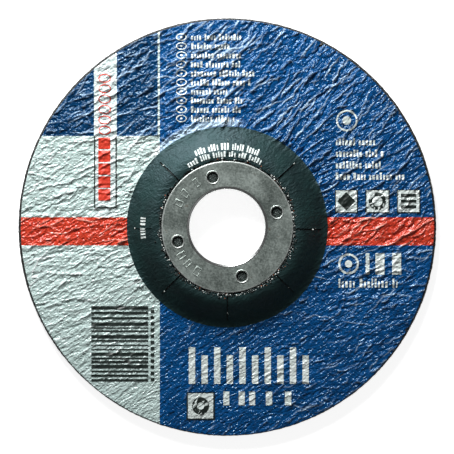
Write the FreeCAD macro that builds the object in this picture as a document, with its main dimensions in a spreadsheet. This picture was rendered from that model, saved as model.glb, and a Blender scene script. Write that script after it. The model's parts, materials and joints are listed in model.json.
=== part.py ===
import FreeCAD, Part
import math
import os
import Sketcher

# Depressed-centre cut-off wheel, 125 x 3 x 22.23 mm, resin bonded and fibre reinforced.
# It lies on its working face with the label side up. The origin is on the wheel's axis, in the
# plane of the working face. +X and +Y are the label's right and its top. Millimetres and degrees.
SIZES = {
    # Outline of the wheel and the bell shape of its middle, measured on the working face
    "wheel_radius": 62.5,
    "wheel_thickness": 3.0,
    "hub_rise": 4.6,
    "hub_margin": 1.4,
    "bell_spread": 8.8,
    "foot_bend": 4.2,
    "shoulder_bend": 2.4,
    # Glass-fibre net on the working face, and its yarns
    "net_thickness": 0.4,
    "rim_width": 1.3,
    "net_margin": 1.2,
    "yarn_pitch": 6.0,
    "yarn_width": 1.6,
    # Label on the flat part of the back, and the print on it
    "paper_thickness": 0.15,
    "paper_inset": 0.5,
    "paper_margin": 0.2,
    "ink_thickness": 0.1,
    # Steel bore ring, pressed from sheet, with dimples that key it into the wheel
    "bore_diameter": 22.23,
    "ring_width": 8.485,
    "ring_sheet": 0.5,
    "ring_lead_in": 0.95,
    "ring_bevel": 0.2,
    "ring_play": 0.1,
    "dimple_count": 4,
    "dimple_angle": 16.5,
    "dimple_inset": 4.235,
    "dimple_radius": 1.65,
    "dimple_depth": 0.6,
    "dimple_wall": 0.35,
    "dimple_bevel": 0.25,
    "dimple_play": 0.1,
    # Radial slits in the skin of the hub
    "slit_count": 8,
    "slit_width": 0.3,
    "slit_depth": 0.25,
    "slit_tuck": 0.8,
    "slit_stop": 2.0,
    # Colour fields of the label, placed from the left and the top of the wheel
    "divider_from_left": 42.05,
    "divider_width": 0.6,
    "navy_height": 35.35,
    "strip_from_left": 26.1,
    "strip_width": 6.8,
    "band_from_top": 63.8,
    "band_height": 8.4,
}

# Heights: the paper's faces above the working face, the moulded hub's faces, the ring's top
PAPER_TOP = "(Sizes.wheel_thickness - Sizes.ink_thickness)"
PAPER_BASE = f"({PAPER_TOP} - Sizes.paper_thickness)"
HUB_UNDERSIDE = "(Sizes.hub_rise + Sizes.net_thickness)"
HUB_TOP = f"(Sizes.hub_rise + {PAPER_BASE})"
RING_TOP = f"({HUB_TOP} + Sizes.ring_sheet)"

# Radii from the bore outwards, then from the outline inwards
BORE = "(Sizes.bore_diameter / 2)"
MOULDED_BORE = f"({BORE} + Sizes.ring_sheet + Sizes.ring_play)"
RING_RADIUS = f"({BORE} + Sizes.ring_width)"
HUB_FLAT = f"({RING_RADIUS} + Sizes.hub_margin)"
BELL_FOOT = f"({HUB_FLAT} + Sizes.bell_spread)"
PAPER_HOLE = f"({BELL_FOOT} + Sizes.paper_margin)"
NET_HOLE = f"({BELL_FOOT} + Sizes.net_margin)"
NET_RADIUS = "(Sizes.wheel_radius - Sizes.rim_width)"
PAPER_RADIUS = "(Sizes.wheel_radius - Sizes.paper_inset)"

# Dimples, slits and the edges of the colour fields
DIMPLE_OUTSIDE = "(Sizes.dimple_radius + Sizes.dimple_wall)"
DIMPLE_CENTRE = (f"({BORE} + Sizes.dimple_inset) * cos(Sizes.dimple_angle * 1 deg)",
                 f"({BORE} + Sizes.dimple_inset) * sin(Sizes.dimple_angle * 1 deg)")
SLIT_START = f"({RING_RADIUS} - Sizes.slit_tuck)"
SLIT_END = f"({BELL_FOOT} - Sizes.slit_stop)"
DIVIDER_LEFT = "(Sizes.divider_from_left - Sizes.divider_width / 2 - Sizes.wheel_radius)"
DIVIDER_RIGHT = f"({DIVIDER_LEFT} + Sizes.divider_width)"
NAVY_LOW = "(Sizes.wheel_radius - Sizes.navy_height)"
STRIP_LEFT = "(Sizes.strip_from_left - Sizes.strip_width / 2 - Sizes.wheel_radius)"
BAND_LOW = "(Sizes.wheel_radius - Sizes.band_from_top - Sizes.band_height / 2)"

ORIGIN_POINT, CENTRE, START, END = (-1, 1), 3, 1, 2
EDGE_MATCH = 1e-4

doc = FreeCAD.newDocument("CutOffWheel")
sheet = doc.addObject("Spreadsheet::Sheet", "Sizes")
for row, (alias, size) in enumerate(SIZES.items(), 1):
    sheet.set(f"A{row}", alias)
    sheet.set(f"B{row}", str(size))
    sheet.setAlias(f"B{row}", alias)
doc.recompute()


def number(expression):
    """Present value of an expression on the sheet."""
    return float(sheet.evalExpression(expression))


def origin_plane(body, role):
    return next(plane for plane in body.Origin.OriginFeatures if plane.Role == role)


def new_body(name):
    body = doc.addObject("PartDesign::Body", name)
    body.Label = name
    return body


def new_sketch(body, name, role, height=None):
    """Sketch on one of the body's own planes, raised to a height where one is given."""
    sketch = body.newObject("Sketcher::SketchObject", name)
    sketch.AttachmentSupport = [(origin_plane(body, role), "")]
    sketch.MapMode = "FlatFace"
    if height:
        sketch.setExpression(".AttachmentOffset.Base.z", height)
    return sketch


def measure(sketch, kind, *references, to):
    """Dimension of a sketch whose value follows an expression."""
    index = sketch.addConstraint(Sketcher.Constraint(kind, *references, number(to)))
    sketch.setExpression(f"Constraints[{index}]", to)


def join(sketch, kind, *references):
    sketch.addConstraint(Sketcher.Constraint(kind, *references))


def add_line(sketch, start, end):
    return sketch.addGeometry(
        Part.LineSegment(FreeCAD.Vector(*start, 0), FreeCAD.Vector(*end, 0)), False)


def add_arc(sketch, centre, radius, first, last):
    circle = Part.Circle(FreeCAD.Vector(*centre, 0), FreeCAD.Vector(0, 0, 1), radius)
    return sketch.addGeometry(Part.ArcOfCircle(circle, first, last), False)


def add_circle(sketch, radius, centre=("0", "0")):
    """Circle whose radius and centre follow expressions."""
    x, y = centre
    middle = FreeCAD.Vector(number(x), number(y), 0)
    circle = sketch.addGeometry(
        Part.Circle(middle, FreeCAD.Vector(0, 0, 1), number(radius)), False)
    measure(sketch, "DistanceX", *ORIGIN_POINT, circle, CENTRE, to=x)
    measure(sketch, "DistanceY", *ORIGIN_POINT, circle, CENTRE, to=y)
    measure(sketch, "Radius", circle, to=radius)


def slope_angle():
    """Angle of the bell's straight flank, the common tangent of its two bends."""
    bends = SIZES["foot_bend"] + SIZES["shoulder_bend"]
    run, drop = SIZES["bell_spread"], bends - SIZES["hub_rise"]
    return math.asin(bends / math.hypot(run, drop)) - math.atan2(drop, run)


def bell_side(sketch, offset, inner, outer):
    """One long side of a bell section, an offset above the working face: rim, foot bend,
    flank, shoulder bend and hub. Returns the rim line and the hub line."""
    slope = slope_angle()
    across, up = math.sin(slope), math.cos(slope)
    low, high = number(offset), SIZES["hub_rise"] + number(offset)
    foot_x, foot_y = number(BELL_FOOT), SIZES["foot_bend"]
    top_x, top_y = number(HUB_FLAT), SIZES["hub_rise"] - SIZES["shoulder_bend"]
    foot_r, top_r = foot_y - low, high - top_y

    rim = add_line(sketch, (number(outer), low), (foot_x, low))
    foot = add_arc(sketch, (foot_x, foot_y), foot_r, -math.pi / 2 - slope, -math.pi / 2)
    flank = add_line(sketch, (foot_x - foot_r * across, foot_y - foot_r * up),
                     (top_x + top_r * across, top_y + top_r * up))
    shoulder = add_arc(sketch, (top_x, top_y), top_r, math.pi / 2 - slope, math.pi / 2)
    hub = add_line(sketch, (top_x, high), (number(inner), high))

    join(sketch, "Tangent", rim, END, foot, END)
    join(sketch, "Tangent", foot, START, flank, START)
    join(sketch, "Tangent", flank, END, shoulder, START)
    join(sketch, "Tangent", shoulder, END, hub, START)
    join(sketch, "Horizontal", rim)
    join(sketch, "Horizontal", hub)
    measure(sketch, "DistanceX", *ORIGIN_POINT, foot, CENTRE, to=BELL_FOOT)
    measure(sketch, "DistanceY", *ORIGIN_POINT, foot, CENTRE, to="Sizes.foot_bend")
    measure(sketch, "Radius", foot, to=f"Sizes.foot_bend - {offset}")
    measure(sketch, "DistanceX", *ORIGIN_POINT, shoulder, CENTRE, to=HUB_FLAT)
    measure(sketch, "DistanceY", *ORIGIN_POINT, shoulder, CENTRE,
            to="Sizes.hub_rise - Sizes.shoulder_bend")
    measure(sketch, "Radius", shoulder, to=f"Sizes.shoulder_bend + {offset}")
    return rim, hub


def bell_layer(body, low, high, inner, outer):
    """Layer of the wheel between two heights above the working face, turned about the axis."""
    sketch = new_sketch(body, f"{body.Name}_section", "XZ_Plane")
    low_rim, low_hub = bell_side(sketch, low, inner, outer)
    high_rim, high_hub = bell_side(sketch, high, inner, outer)
    rise, inside, outside = SIZES["hub_rise"], number(inner), number(outer)
    bore = add_line(sketch, (inside, rise + number(low)), (inside, rise + number(high)))
    edge = add_line(sketch, (outside, number(low)), (outside, number(high)))
    for line, below, above, point in ((bore, low_hub, high_hub, END), (edge, low_rim, high_rim, START)):
        join(sketch, "Coincident", line, START, below, point)
        join(sketch, "Coincident", line, END, above, point)
        join(sketch, "Vertical", line)
    measure(sketch, "DistanceX", *ORIGIN_POINT, bore, START, to=inner)
    measure(sketch, "DistanceX", *ORIGIN_POINT, edge, START, to=outer)
    return turn(body, sketch)


def turn(body, sketch):
    revolution = body.newObject("PartDesign::Revolution", f"{body.Name}_turned")
    revolution.Profile = sketch
    revolution.ReferenceAxis = (sketch, ["V_Axis"])
    revolution.Angle = 360
    doc.recompute()
    return revolution


def repeat(body, features, count):
    """The features again at equal angles about the wheel's axis."""
    pattern = body.newObject("PartDesign::PolarPattern", f"{features[0].Name}_pattern")
    pattern.Originals = features
    pattern.Axis = (features[0].Profile[0], ["N_Axis"])
    pattern.Angle = 360
    pattern.setExpression("Occurrences", count)
    body.Tip = pattern
    doc.recompute()
    return pattern


def pad_circles(body, radii, length, height=None):
    """Disc or ring about the wheel's axis, from a height up."""
    sketch = new_sketch(body, f"{body.Name}_circles", "XY_Plane", height)
    for radius in radii:
        add_circle(sketch, radius)
    pad = body.newObject("PartDesign::Pad", f"{body.Name}_pad")
    pad.Profile = sketch
    pad.setExpression("Length", length)
    doc.recompute()
    return pad


def circle_edges(shape, radius, height):
    """Names of a shape's round edges that have this radius and lie at this height."""
    names = []
    for index, edge in enumerate(shape.Edges, 1):
        curve = edge.Curve
        if (isinstance(curve, Part.Circle) and abs(curve.Radius - number(radius)) < EDGE_MATCH
                and abs(curve.Center.z - number(height)) < EDGE_MATCH):
            names.append(f"Edge{index}")
    return names


def bevel(body, base, radius, height, size, name):
    """Chamfer on the round edges of one radius at one height."""
    chamfer = body.newObject("PartDesign::Chamfer", name)
    chamfer.Base = (base, circle_edges(base.Shape, radius, height))
    chamfer.setExpression("Size", size)
    doc.recompute()
    return chamfer


def sink_dimple_seats(body):
    """Blind seats in the hub for the ring's dimples."""
    circle = new_sketch(body, "dimple_seat_circle", "XY_Plane", HUB_TOP)
    add_circle(circle, f"{DIMPLE_OUTSIDE} + Sizes.dimple_play", DIMPLE_CENTRE)
    seat = body.newObject("PartDesign::Pocket", "dimple_seat")
    seat.Profile = circle
    seat.setExpression("Length", "Sizes.dimple_depth + Sizes.dimple_play")
    doc.recompute()
    return repeat(body, [seat], "Sizes.dimple_count")


def slit_outline(body):
    """Long narrow rectangle along +X, centred on the axis line."""
    sketch = new_sketch(body, "slit_outline", "XY_Plane")
    near, far, half = number(SLIT_START), number(SLIT_END), number("Sizes.slit_width / 2")
    corners = [(near, -half), (far, -half), (far, half), (near, half)]
    low, end, high, start = (
        add_line(sketch, corner, corners[(index + 1) % 4]) for index, corner in enumerate(corners))
    for line, following in ((low, end), (end, high), (high, start), (start, low)):
        join(sketch, "Coincident", line, END, following, START)
    for line, kind in ((low, "Horizontal"), (high, "Horizontal"), (end, "Vertical"), (start, "Vertical")):
        join(sketch, kind, line)
    measure(sketch, "DistanceX", *ORIGIN_POINT, low, START, to=SLIT_START)
    measure(sketch, "DistanceX", *ORIGIN_POINT, low, END, to=SLIT_END)
    measure(sketch, "DistanceY", *ORIGIN_POINT, high, START, to="Sizes.slit_width / 2")
    measure(sketch, "DistanceY", end, START, end, END, to="Sizes.slit_width")
    return sketch


def slit_cutters():
    """Radial blades inside a skin that follows the bell, the first one along +X."""
    fan = new_body("slit_fan")
    fan.AllowCompound = True
    blade = fan.newObject("PartDesign::Pad", "slit_blade")
    blade.Profile = slit_outline(fan)
    blade.setExpression("Length", RING_TOP)
    doc.recompute()
    repeat(fan, [blade], "Sizes.slit_count")
    skin = new_body("slit_skin")
    bell_layer(skin, f"({PAPER_BASE} - Sizes.slit_depth)", "Sizes.wheel_thickness",
               MOULDED_BORE, "Sizes.wheel_radius")
    return add_common("slits", fan, skin)


def make_abrasive_body():
    """Moulded grain and resin. Its rim closes round the edge of the net, and its hub has seats
    for the ring's dimples and bend, and radial slits in the skin."""
    body = new_body("moulding")
    bell_layer(body, "Sizes.net_thickness", PAPER_BASE, MOULDED_BORE, NET_RADIUS)
    pad_circles(body, [NET_RADIUS, "Sizes.wheel_radius"], PAPER_BASE)
    seated = sink_dimple_seats(body)
    bevel(body, seated, MOULDED_BORE, HUB_TOP,
          "Sizes.ring_lead_in - Sizes.ring_sheet + Sizes.ring_play", "bend_seat")
    return add_cut("abrasive_body", body, slit_cutters())


def make_label_paper():
    """Ring of printed paper on the flat part of the back."""
    body = new_body("label_paper")
    pad_circles(body, [PAPER_HOLE, PAPER_RADIUS], "Sizes.paper_thickness", PAPER_BASE)
    return body


def ring_section(body):
    """Flange on the hub, rolled over into the collar that lines the bore."""
    sketch = new_sketch(body, "ring_section", "XZ_Plane")
    bore, outside = number(BORE), number(RING_RADIUS)
    wall, lead_in = SIZES["ring_sheet"], SIZES["ring_lead_in"]
    low, under, top = number(HUB_UNDERSIDE), number(HUB_TOP), number(RING_TOP)
    bend, bend_height = bore + lead_in, top - lead_in

    face = add_line(sketch, (outside, top), (bend, top))
    outer_bend = add_arc(sketch, (bend, bend_height), lead_in, math.pi / 2, math.pi)
    bore_wall = add_line(sketch, (bore, bend_height), (bore, low))
    collar_end = add_line(sketch, (bore, low), (bore + wall, low))
    collar_back = add_line(sketch, (bore + wall, low), (bore + wall, bend_height))
    bend_back = add_line(sketch, (bore + wall, bend_height), (bend, under))
    underside = add_line(sketch, (bend, under), (outside, under))
    edge = add_line(sketch, (outside, under), (outside, top))

    join(sketch, "Tangent", face, END, outer_bend, START)
    join(sketch, "Tangent", outer_bend, END, bore_wall, START)
    join(sketch, "Coincident", bore_wall, END, collar_end, START)
    join(sketch, "Coincident", collar_end, END, collar_back, START)
    join(sketch, "Coincident", collar_back, END, bend_back, START)
    join(sketch, "Coincident", bend_back, END, underside, START)
    join(sketch, "Coincident", underside, END, edge, START)
    join(sketch, "Coincident", edge, END, face, START)
    join(sketch, "Vertical", bend_back, END, outer_bend, CENTRE)
    join(sketch, "Horizontal", bend_back, START, outer_bend, CENTRE)
    for line in (face, collar_end, underside):
        join(sketch, "Horizontal", line)
    for line in (bore_wall, collar_back, edge):
        join(sketch, "Vertical", line)
    measure(sketch, "DistanceX", *ORIGIN_POINT, outer_bend, CENTRE,
            to=f"{BORE} + Sizes.ring_lead_in")
    measure(sketch, "DistanceY", *ORIGIN_POINT, outer_bend, CENTRE,
            to=f"{RING_TOP} - Sizes.ring_lead_in")
    measure(sketch, "Radius", outer_bend, to="Sizes.ring_lead_in")
    measure(sketch, "DistanceX", bore_wall, END, collar_end, END, to="Sizes.ring_sheet")
    measure(sketch, "DistanceY", edge, START, edge, END, to="Sizes.ring_sheet")
    measure(sketch, "DistanceY", *ORIGIN_POINT, collar_end, START, to=HUB_UNDERSIDE)
    measure(sketch, "DistanceX", *ORIGIN_POINT, edge, START, to=RING_RADIUS)
    return sketch


def press_dimples(body):
    """Dimples pressed down from the ring's face: a cup below the sheet and its hollow."""
    boss_circle = new_sketch(body, "dimple_boss_circle", "XY_Plane", HUB_TOP)
    add_circle(boss_circle, DIMPLE_OUTSIDE, DIMPLE_CENTRE)
    boss = body.newObject("PartDesign::Pad", "dimple_boss")
    boss.Profile = boss_circle
    boss.Reversed = True
    boss.setExpression("Length", "Sizes.dimple_depth")
    doc.recompute()
    hollow_circle = new_sketch(body, "dimple_hollow_circle", "XY_Plane", RING_TOP)
    add_circle(hollow_circle, "Sizes.dimple_radius", DIMPLE_CENTRE)
    hollow = body.newObject("PartDesign::Pocket", "dimple_hollow")
    hollow.Profile = hollow_circle
    hollow.setExpression("Length", "Sizes.dimple_depth")
    doc.recompute()
    return repeat(body, [boss, hollow], "Sizes.dimple_count")


def make_bore_ring():
    """Pressed steel ring that lines the bore and carries the flange of the machine."""
    body = new_body("bore_ring")
    turn(body, ring_section(body))
    pressed = press_dimples(body)
    softened = bevel(body, pressed, "Sizes.dimple_radius", RING_TOP, "Sizes.dimple_bevel",
                     "dimple_rims")
    bevel(body, softened, RING_RADIUS, RING_TOP, "Sizes.ring_bevel", "ring_outline")
    return body


def add_block(name, x, y, z, length, width, height):
    """Box from one corner and three lengths, each of them an expression."""
    block = doc.addObject("Part::Box", name)
    for prop, expression in (
            (".Placement.Base.x", x), (".Placement.Base.y", y), (".Placement.Base.z", z),
            ("Length", length), ("Width", width), ("Height", height)):
        block.setExpression(prop, expression)
    return block


def add_common(name, first, second):
    common = doc.addObject("Part::MultiCommon", name)
    common.Shapes = [first, second]
    return common


def add_cut(name, base, tool):
    cut = doc.addObject("Part::Cut", name)
    cut.Base, cut.Tool = base, tool
    return cut


def yarn_layer(name, base, along_x):
    """Parallel yarns of one direction on the flat part of the working face."""
    body = new_body(f"{name}_ring")
    half = "Sizes.net_thickness / 2"
    pad_circles(body, [NET_HOLE, NET_RADIUS], half, base)
    low, full = "-Sizes.wheel_radius", "2 * Sizes.wheel_radius"
    reach = int(number(NET_RADIUS) // SIZES["yarn_pitch"])
    yarns = []
    for place in range(-reach, reach + 1):
        side = f"{place} * Sizes.yarn_pitch - Sizes.yarn_width / 2"
        start = (low, side) if along_x else (side, low)
        span = (full, "Sizes.yarn_width") if along_x else ("Sizes.yarn_width", full)
        yarns.append(add_block(f"{name}_yarn", *start, "0", *span, "Sizes.net_thickness"))
    bundle = doc.addObject("Part::Compound", f"{name}_yarns")
    bundle.Links = yarns
    return add_common(name, bundle, body)


def make_working_face_net():
    """Open net bonded to the working face: one direction of yarns over the other."""
    net = doc.addObject("Part::Compound", "working_face_net")
    net.Links = [yarn_layer("weft", "0", True),
                 yarn_layer("warp", "Sizes.net_thickness / 2", False)]
    return net


def make_label_print():
    """Blue, navy and red fields on the label. The pale field, the strip in the navy and the line
    beside it are the paper itself, left bare."""
    body = new_body("print_ring")
    pad_circles(body, [PAPER_HOLE, PAPER_RADIUS], "Sizes.ink_thickness", PAPER_TOP)
    low, side, full = "-Sizes.wheel_radius", "Sizes.wheel_radius", "2 * Sizes.wheel_radius"
    base, thick = PAPER_TOP, "Sizes.ink_thickness"
    right = add_block("right_side", DIVIDER_RIGHT, low, base, f"{side} - {DIVIDER_RIGHT}", full, thick)
    corner = add_block("left_top", low, NAVY_LOW, base, f"{side} + {DIVIDER_LEFT}",
                       "Sizes.navy_height", thick)
    band = add_block("band", low, BAND_LOW, base, full, "Sizes.band_height", thick)
    strip = add_block("strip", STRIP_LEFT, NAVY_LOW, base, "Sizes.strip_width",
                      "Sizes.navy_height", thick)
    return [add_cut("ink_blue", add_common("blue_side", body, right), band),
            add_cut("ink_navy", add_common("navy_corner", body, corner), strip),
            add_common("ink_red", body, band)]


def check_document(nodes):
    failed = [item.Name for item in doc.Objects if {"Invalid", "Error"} & set(item.State)]
    failed += [node.Label for node in nodes if node.Shape.isNull() or not node.Shape.isValid()]
    if failed:
        raise RuntimeError(f"these objects failed: {failed}")


def write_nodes(nodes):
    os.makedirs("parts", exist_ok=True)
    for node in nodes:
        shape = node.Shape
        print(f"{node.Label}: {len(shape.Solids)} solids, {shape.Volume:.1f} mm3")
        shape.exportStep(os.path.join("parts", f"{node.Label}.step"))


nodes = [make_abrasive_body(), make_working_face_net(), make_label_paper(),
         *make_label_print(), make_bore_ring()]
doc.recompute()
check_document(nodes)
write_nodes(nodes)
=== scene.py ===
"""Looks of a depressed-centre cut-off wheel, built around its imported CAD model.

The wheel lies on its working face with the label up. +X is the label's right and +Y its top.
Sizes and places are written in millimetres and become metres in the meshes.
"""

import json
import logging
import math
from dataclasses import dataclass, field
from enum import Enum
from typing import Iterator, Optional, Sequence

import bpy
import numpy as np
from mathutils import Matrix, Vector, noise

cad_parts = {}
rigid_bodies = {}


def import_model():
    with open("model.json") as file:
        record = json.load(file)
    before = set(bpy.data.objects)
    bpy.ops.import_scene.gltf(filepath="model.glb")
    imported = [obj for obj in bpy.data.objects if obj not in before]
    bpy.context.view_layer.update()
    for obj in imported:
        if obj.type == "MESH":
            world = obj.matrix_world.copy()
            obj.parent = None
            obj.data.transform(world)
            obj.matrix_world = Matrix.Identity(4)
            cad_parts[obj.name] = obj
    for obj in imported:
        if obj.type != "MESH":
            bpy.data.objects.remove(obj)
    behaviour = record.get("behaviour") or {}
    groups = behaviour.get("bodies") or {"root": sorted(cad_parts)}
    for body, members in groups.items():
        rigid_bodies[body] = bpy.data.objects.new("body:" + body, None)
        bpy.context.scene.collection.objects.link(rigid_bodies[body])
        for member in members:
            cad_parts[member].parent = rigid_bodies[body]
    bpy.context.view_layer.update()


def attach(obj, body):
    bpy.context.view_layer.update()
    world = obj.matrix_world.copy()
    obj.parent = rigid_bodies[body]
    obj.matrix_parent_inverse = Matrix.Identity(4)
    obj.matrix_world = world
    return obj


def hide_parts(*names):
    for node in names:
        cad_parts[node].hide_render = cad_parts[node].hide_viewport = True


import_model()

MM = 0.001
FULL_TURN = 2 * math.pi
BODY = "root"
MERGE_DISTANCE = 1e-6
SPIN_STEPS = 48
FAR = 99.0
log = logging.getLogger("cut_off_wheel")

Pair = tuple[float, float]


# ---------------------------------------------------------------- modelling tools


def open_piece(piece: bpy.types.Object) -> None:
    """Opens one piece alone for editing, with nothing in it selected.

    Args:
        piece: Mesh object to edit.
    """
    bpy.ops.object.select_all(action="DESELECT")
    piece.select_set(True)
    bpy.context.view_layer.objects.active = piece
    bpy.ops.object.mode_set(mode="EDIT")
    bpy.ops.mesh.select_mode(type="FACE")
    bpy.ops.mesh.select_all(action="DESELECT")


def close_piece() -> None:
    """Goes back from editing to whole objects."""
    bpy.ops.object.mode_set(mode="OBJECT")


def blank_piece(name: str) -> bpy.types.Object:
    """Starts a piece from a plane whose corners are merged, and leaves it open for editing.

    Args:
        name: Name of the piece and of its mesh.

    Returns:
        The piece, one selected point at the origin.
    """
    bpy.ops.object.select_all(action="DESELECT")
    bpy.ops.mesh.primitive_plane_add(size=MM)
    piece = bpy.context.object
    piece.name = piece.data.name = name
    bpy.ops.object.mode_set(mode="EDIT")
    bpy.ops.mesh.select_mode(type="VERT")
    bpy.ops.mesh.select_all(action="SELECT")
    bpy.ops.mesh.merge(type="CENTER")
    return piece


def empty_piece(name: str) -> bpy.types.Object:
    """Starts a piece with nothing in it and leaves it open for shapes to be added.

    Args:
        name: Name of the piece and of its mesh.

    Returns:
        The piece.
    """
    piece = blank_piece(name)
    bpy.ops.mesh.delete(type="VERT")
    return piece


def place_for_shape(x: float, y: float, z: float = 0.0) -> tuple[float, float, float]:
    """Place in metres for the next shape of the open mesh, in which nothing stays selected."""
    bpy.ops.mesh.select_all(action="DESELECT")
    return x * MM, y * MM, z * MM


def turned(name: str, profile: Sequence[Pair], steps: int) -> bpy.types.Object:
    """Turns a profile of radius and height about the wheel's axis, as on a lathe.

    A spin of many steps is slow, so a wedge is spun and then doubled until it closes.

    Args:
        name: Name of the piece.
        profile: Points from one end of the profile to the other.
        steps: Number of faces round the axis.

    Returns:
        The turned piece, its seam and poles closed.
    """
    piece = blank_piece(name)
    bpy.ops.transform.translate(value=(profile[0][0] * MM, 0, profile[0][1] * MM))
    for (radius, height), (next_radius, next_height) in zip(profile, profile[1:]):
        step = ((next_radius - radius) * MM, 0, (next_height - height) * MM)
        bpy.ops.mesh.extrude_vertices_move(TRANSFORM_OT_translate={"value": step})
    wedge = FULL_TURN
    while steps % 2 == 0 and steps > SPIN_STEPS:
        steps, wedge = steps // 2, wedge / 2
    bpy.ops.mesh.select_all(action="SELECT")
    bpy.ops.mesh.spin(steps=steps, angle=wedge, center=(0, 0, 0), axis=(0, 0, 1))
    while wedge < FULL_TURN - 0.001:
        bpy.ops.mesh.select_all(action="SELECT")
        bpy.ops.mesh.duplicate()
        bpy.ops.transform.rotate(value=wedge, orient_axis="Z", center_override=(0, 0, 0))
        wedge *= 2
    bpy.ops.mesh.select_all(action="SELECT")
    bpy.ops.mesh.remove_doubles(threshold=MERGE_DISTANCE)
    bpy.ops.mesh.normals_make_consistent(inside=False)
    close_piece()
    return piece


def fit(scale: tuple[float, float, float], place: tuple[float, float, float],
        turn: float = 0.0) -> None:
    """Sizes and turns the shape that was just added to the open mesh.

    Args:
        scale: Factors along X, Y and Z.
        place: Its middle in metres.
        turn: Its turn about Z in degrees, from +X towards +Y.
    """
    bpy.ops.transform.resize(value=scale, center_override=place)
    if turn:
        bpy.ops.transform.rotate(value=-math.radians(turn), orient_axis="Z", center_override=place)


def points_of(piece: bpy.types.Object) -> np.ndarray:
    """Points of a piece's mesh in millimetres, one row each.

    Args:
        piece: Piece to read.

    Returns:
        The places.
    """
    flat = np.empty(len(piece.data.vertices) * 3)
    piece.data.vertices.foreach_get("co", flat)
    return flat.reshape(-1, 3) / MM


def set_points(piece: bpy.types.Object, points: np.ndarray) -> None:
    """Puts the points of a piece's mesh at these places, in millimetres."""
    piece.data.vertices.foreach_set("co", (points * MM).ravel())
    piece.data.update()


def face_middles(piece: bpy.types.Object) -> np.ndarray:
    """Middle of each face in millimetres, one row each.

    Args:
        piece: Piece to read.

    Returns:
        The places.
    """
    flat = np.empty(len(piece.data.polygons) * 3)
    piece.data.polygons.foreach_get("center", flat)
    return flat.reshape(-1, 3) / MM


def select_faces(piece: bpy.types.Object, chosen: np.ndarray) -> None:
    """Opens a piece with only the chosen faces selected.

    Args:
        piece: Mesh object to edit.
        chosen: One truth value for each face.
    """
    mesh = piece.data
    mesh.vertices.foreach_set("select", np.zeros(len(mesh.vertices), bool))
    mesh.edges.foreach_set("select", np.zeros(len(mesh.edges), bool))
    mesh.polygons.foreach_set("select", np.zeros(len(mesh.polygons), bool))
    open_piece(piece)
    close_piece()
    mesh.polygons.foreach_set("select", chosen)
    bpy.ops.object.mode_set(mode="EDIT")


def turn_faces(piece: bpy.types.Object, up: bool = True) -> None:
    """Turns over the faces of a sheet that look down, or up where up is false.

    Args:
        piece: Sheet to put right.
        up: Whether its faces are to look up.
    """
    normals = np.empty(len(piece.data.polygons) * 3)
    piece.data.polygons.foreach_get("normal", normals)
    rise = normals.reshape(-1, 3)[:, 2]
    select_faces(piece, rise < 0 if up else rise > 0)
    bpy.ops.mesh.flip_normals()
    close_piece()


def shade(piece: bpy.types.Object, angle: Optional[float] = None) -> None:
    """Smooths the shading of a piece, all over or below an edge angle in degrees.

    Args:
        piece: Piece to shade.
        angle: Edges that bend more than this stay sharp, none if not given.
    """
    bpy.ops.object.select_all(action="DESELECT")
    piece.select_set(True)
    bpy.context.view_layer.objects.active = piece
    if angle is None:
        bpy.ops.object.shade_smooth()
    else:
        bpy.ops.object.shade_smooth_by_angle(angle=math.radians(angle))


def join_pieces(pieces: Sequence[bpy.types.Object]) -> bpy.types.Object:
    """Joins pieces into the first of them.

    Args:
        pieces: Pieces to join, with the one that stays first.

    Returns:
        The joined piece.
    """
    bpy.ops.object.select_all(action="DESELECT")
    for piece in pieces:
        piece.select_set(True)
    bpy.context.view_layer.objects.active = pieces[0]
    bpy.ops.object.join()
    return pieces[0]


def apply_modifier(piece: bpy.types.Object, kind: str, **settings: object) -> None:
    """Adds a modifier with its settings and applies it.

    Args:
        piece: Piece to change.
        kind: Blender's name of the modifier's type.
        settings: Values of the modifier's properties.
    """
    modifier = piece.modifiers.new(kind.title(), kind)
    for name, value in settings.items():
        setattr(modifier, name, value)
    bpy.context.view_layer.objects.active = piece
    bpy.ops.object.modifier_apply(modifier=modifier.name)


def hand_over(piece: bpy.types.Object, slot: str, *nodes: str) -> None:
    """Makes a finished piece ride on the wheel and stand for the CAD nodes it replaces.

    Args:
        piece: Finished piece at the origin.
        slot: Material slot of the record, not used.
        nodes: Names of the CAD nodes it stands for.
    """
    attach(piece, BODY)
    if nodes:
        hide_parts(*nodes)
    log.info("%s: %d faces", piece.name, len(piece.data.polygons))


# ---------------------------------------------------------------- finishes


NOISE, RANGE, MATH = "ShaderNodeTexNoise", "ShaderNodeMapRange", "ShaderNodeMath"


def linear(code: str) -> tuple[float, float, float, float]:
    """Linear colour of an sRGB hex value such as "#1c4571".

    Args:
        code: The hex value.

    Returns:
        Red, green and blue in linear light, and alpha.
    """
    parts = [int(code[start:start + 2], 16) / 255 for start in (1, 3, 5)]
    return (*(part / 12.92 if part <= 0.04045 else ((part + 0.055) / 1.055) ** 2.4
              for part in parts), 1.0)


def per_mm(size: float) -> float:
    """Texture scale on Object coordinates at which one feature is this many millimetres."""
    return 1 / (size * MM)


def add_node(tree: bpy.types.NodeTree, kind: str, inputs: dict | Sequence = (),
             **settings: object) -> bpy.types.Node:
    """Adds a node with its settings and links.

    Args:
        tree: Node tree of a material or world.
        kind: Blender's type name of the node.
        inputs: Value or output socket for each input, by name or in order from the first.
        settings: Values of the node's own properties.

    Returns:
        The new node.
    """
    node = tree.nodes.new(kind)
    for name, value in settings.items():
        setattr(node, name, value)
    for key, value in inputs.items() if isinstance(inputs, dict) else enumerate(inputs):
        if isinstance(value, bpy.types.NodeSocket):
            tree.links.new(value, node.inputs[key])
        else:
            node.inputs[key].default_value = value
    return node


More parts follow.
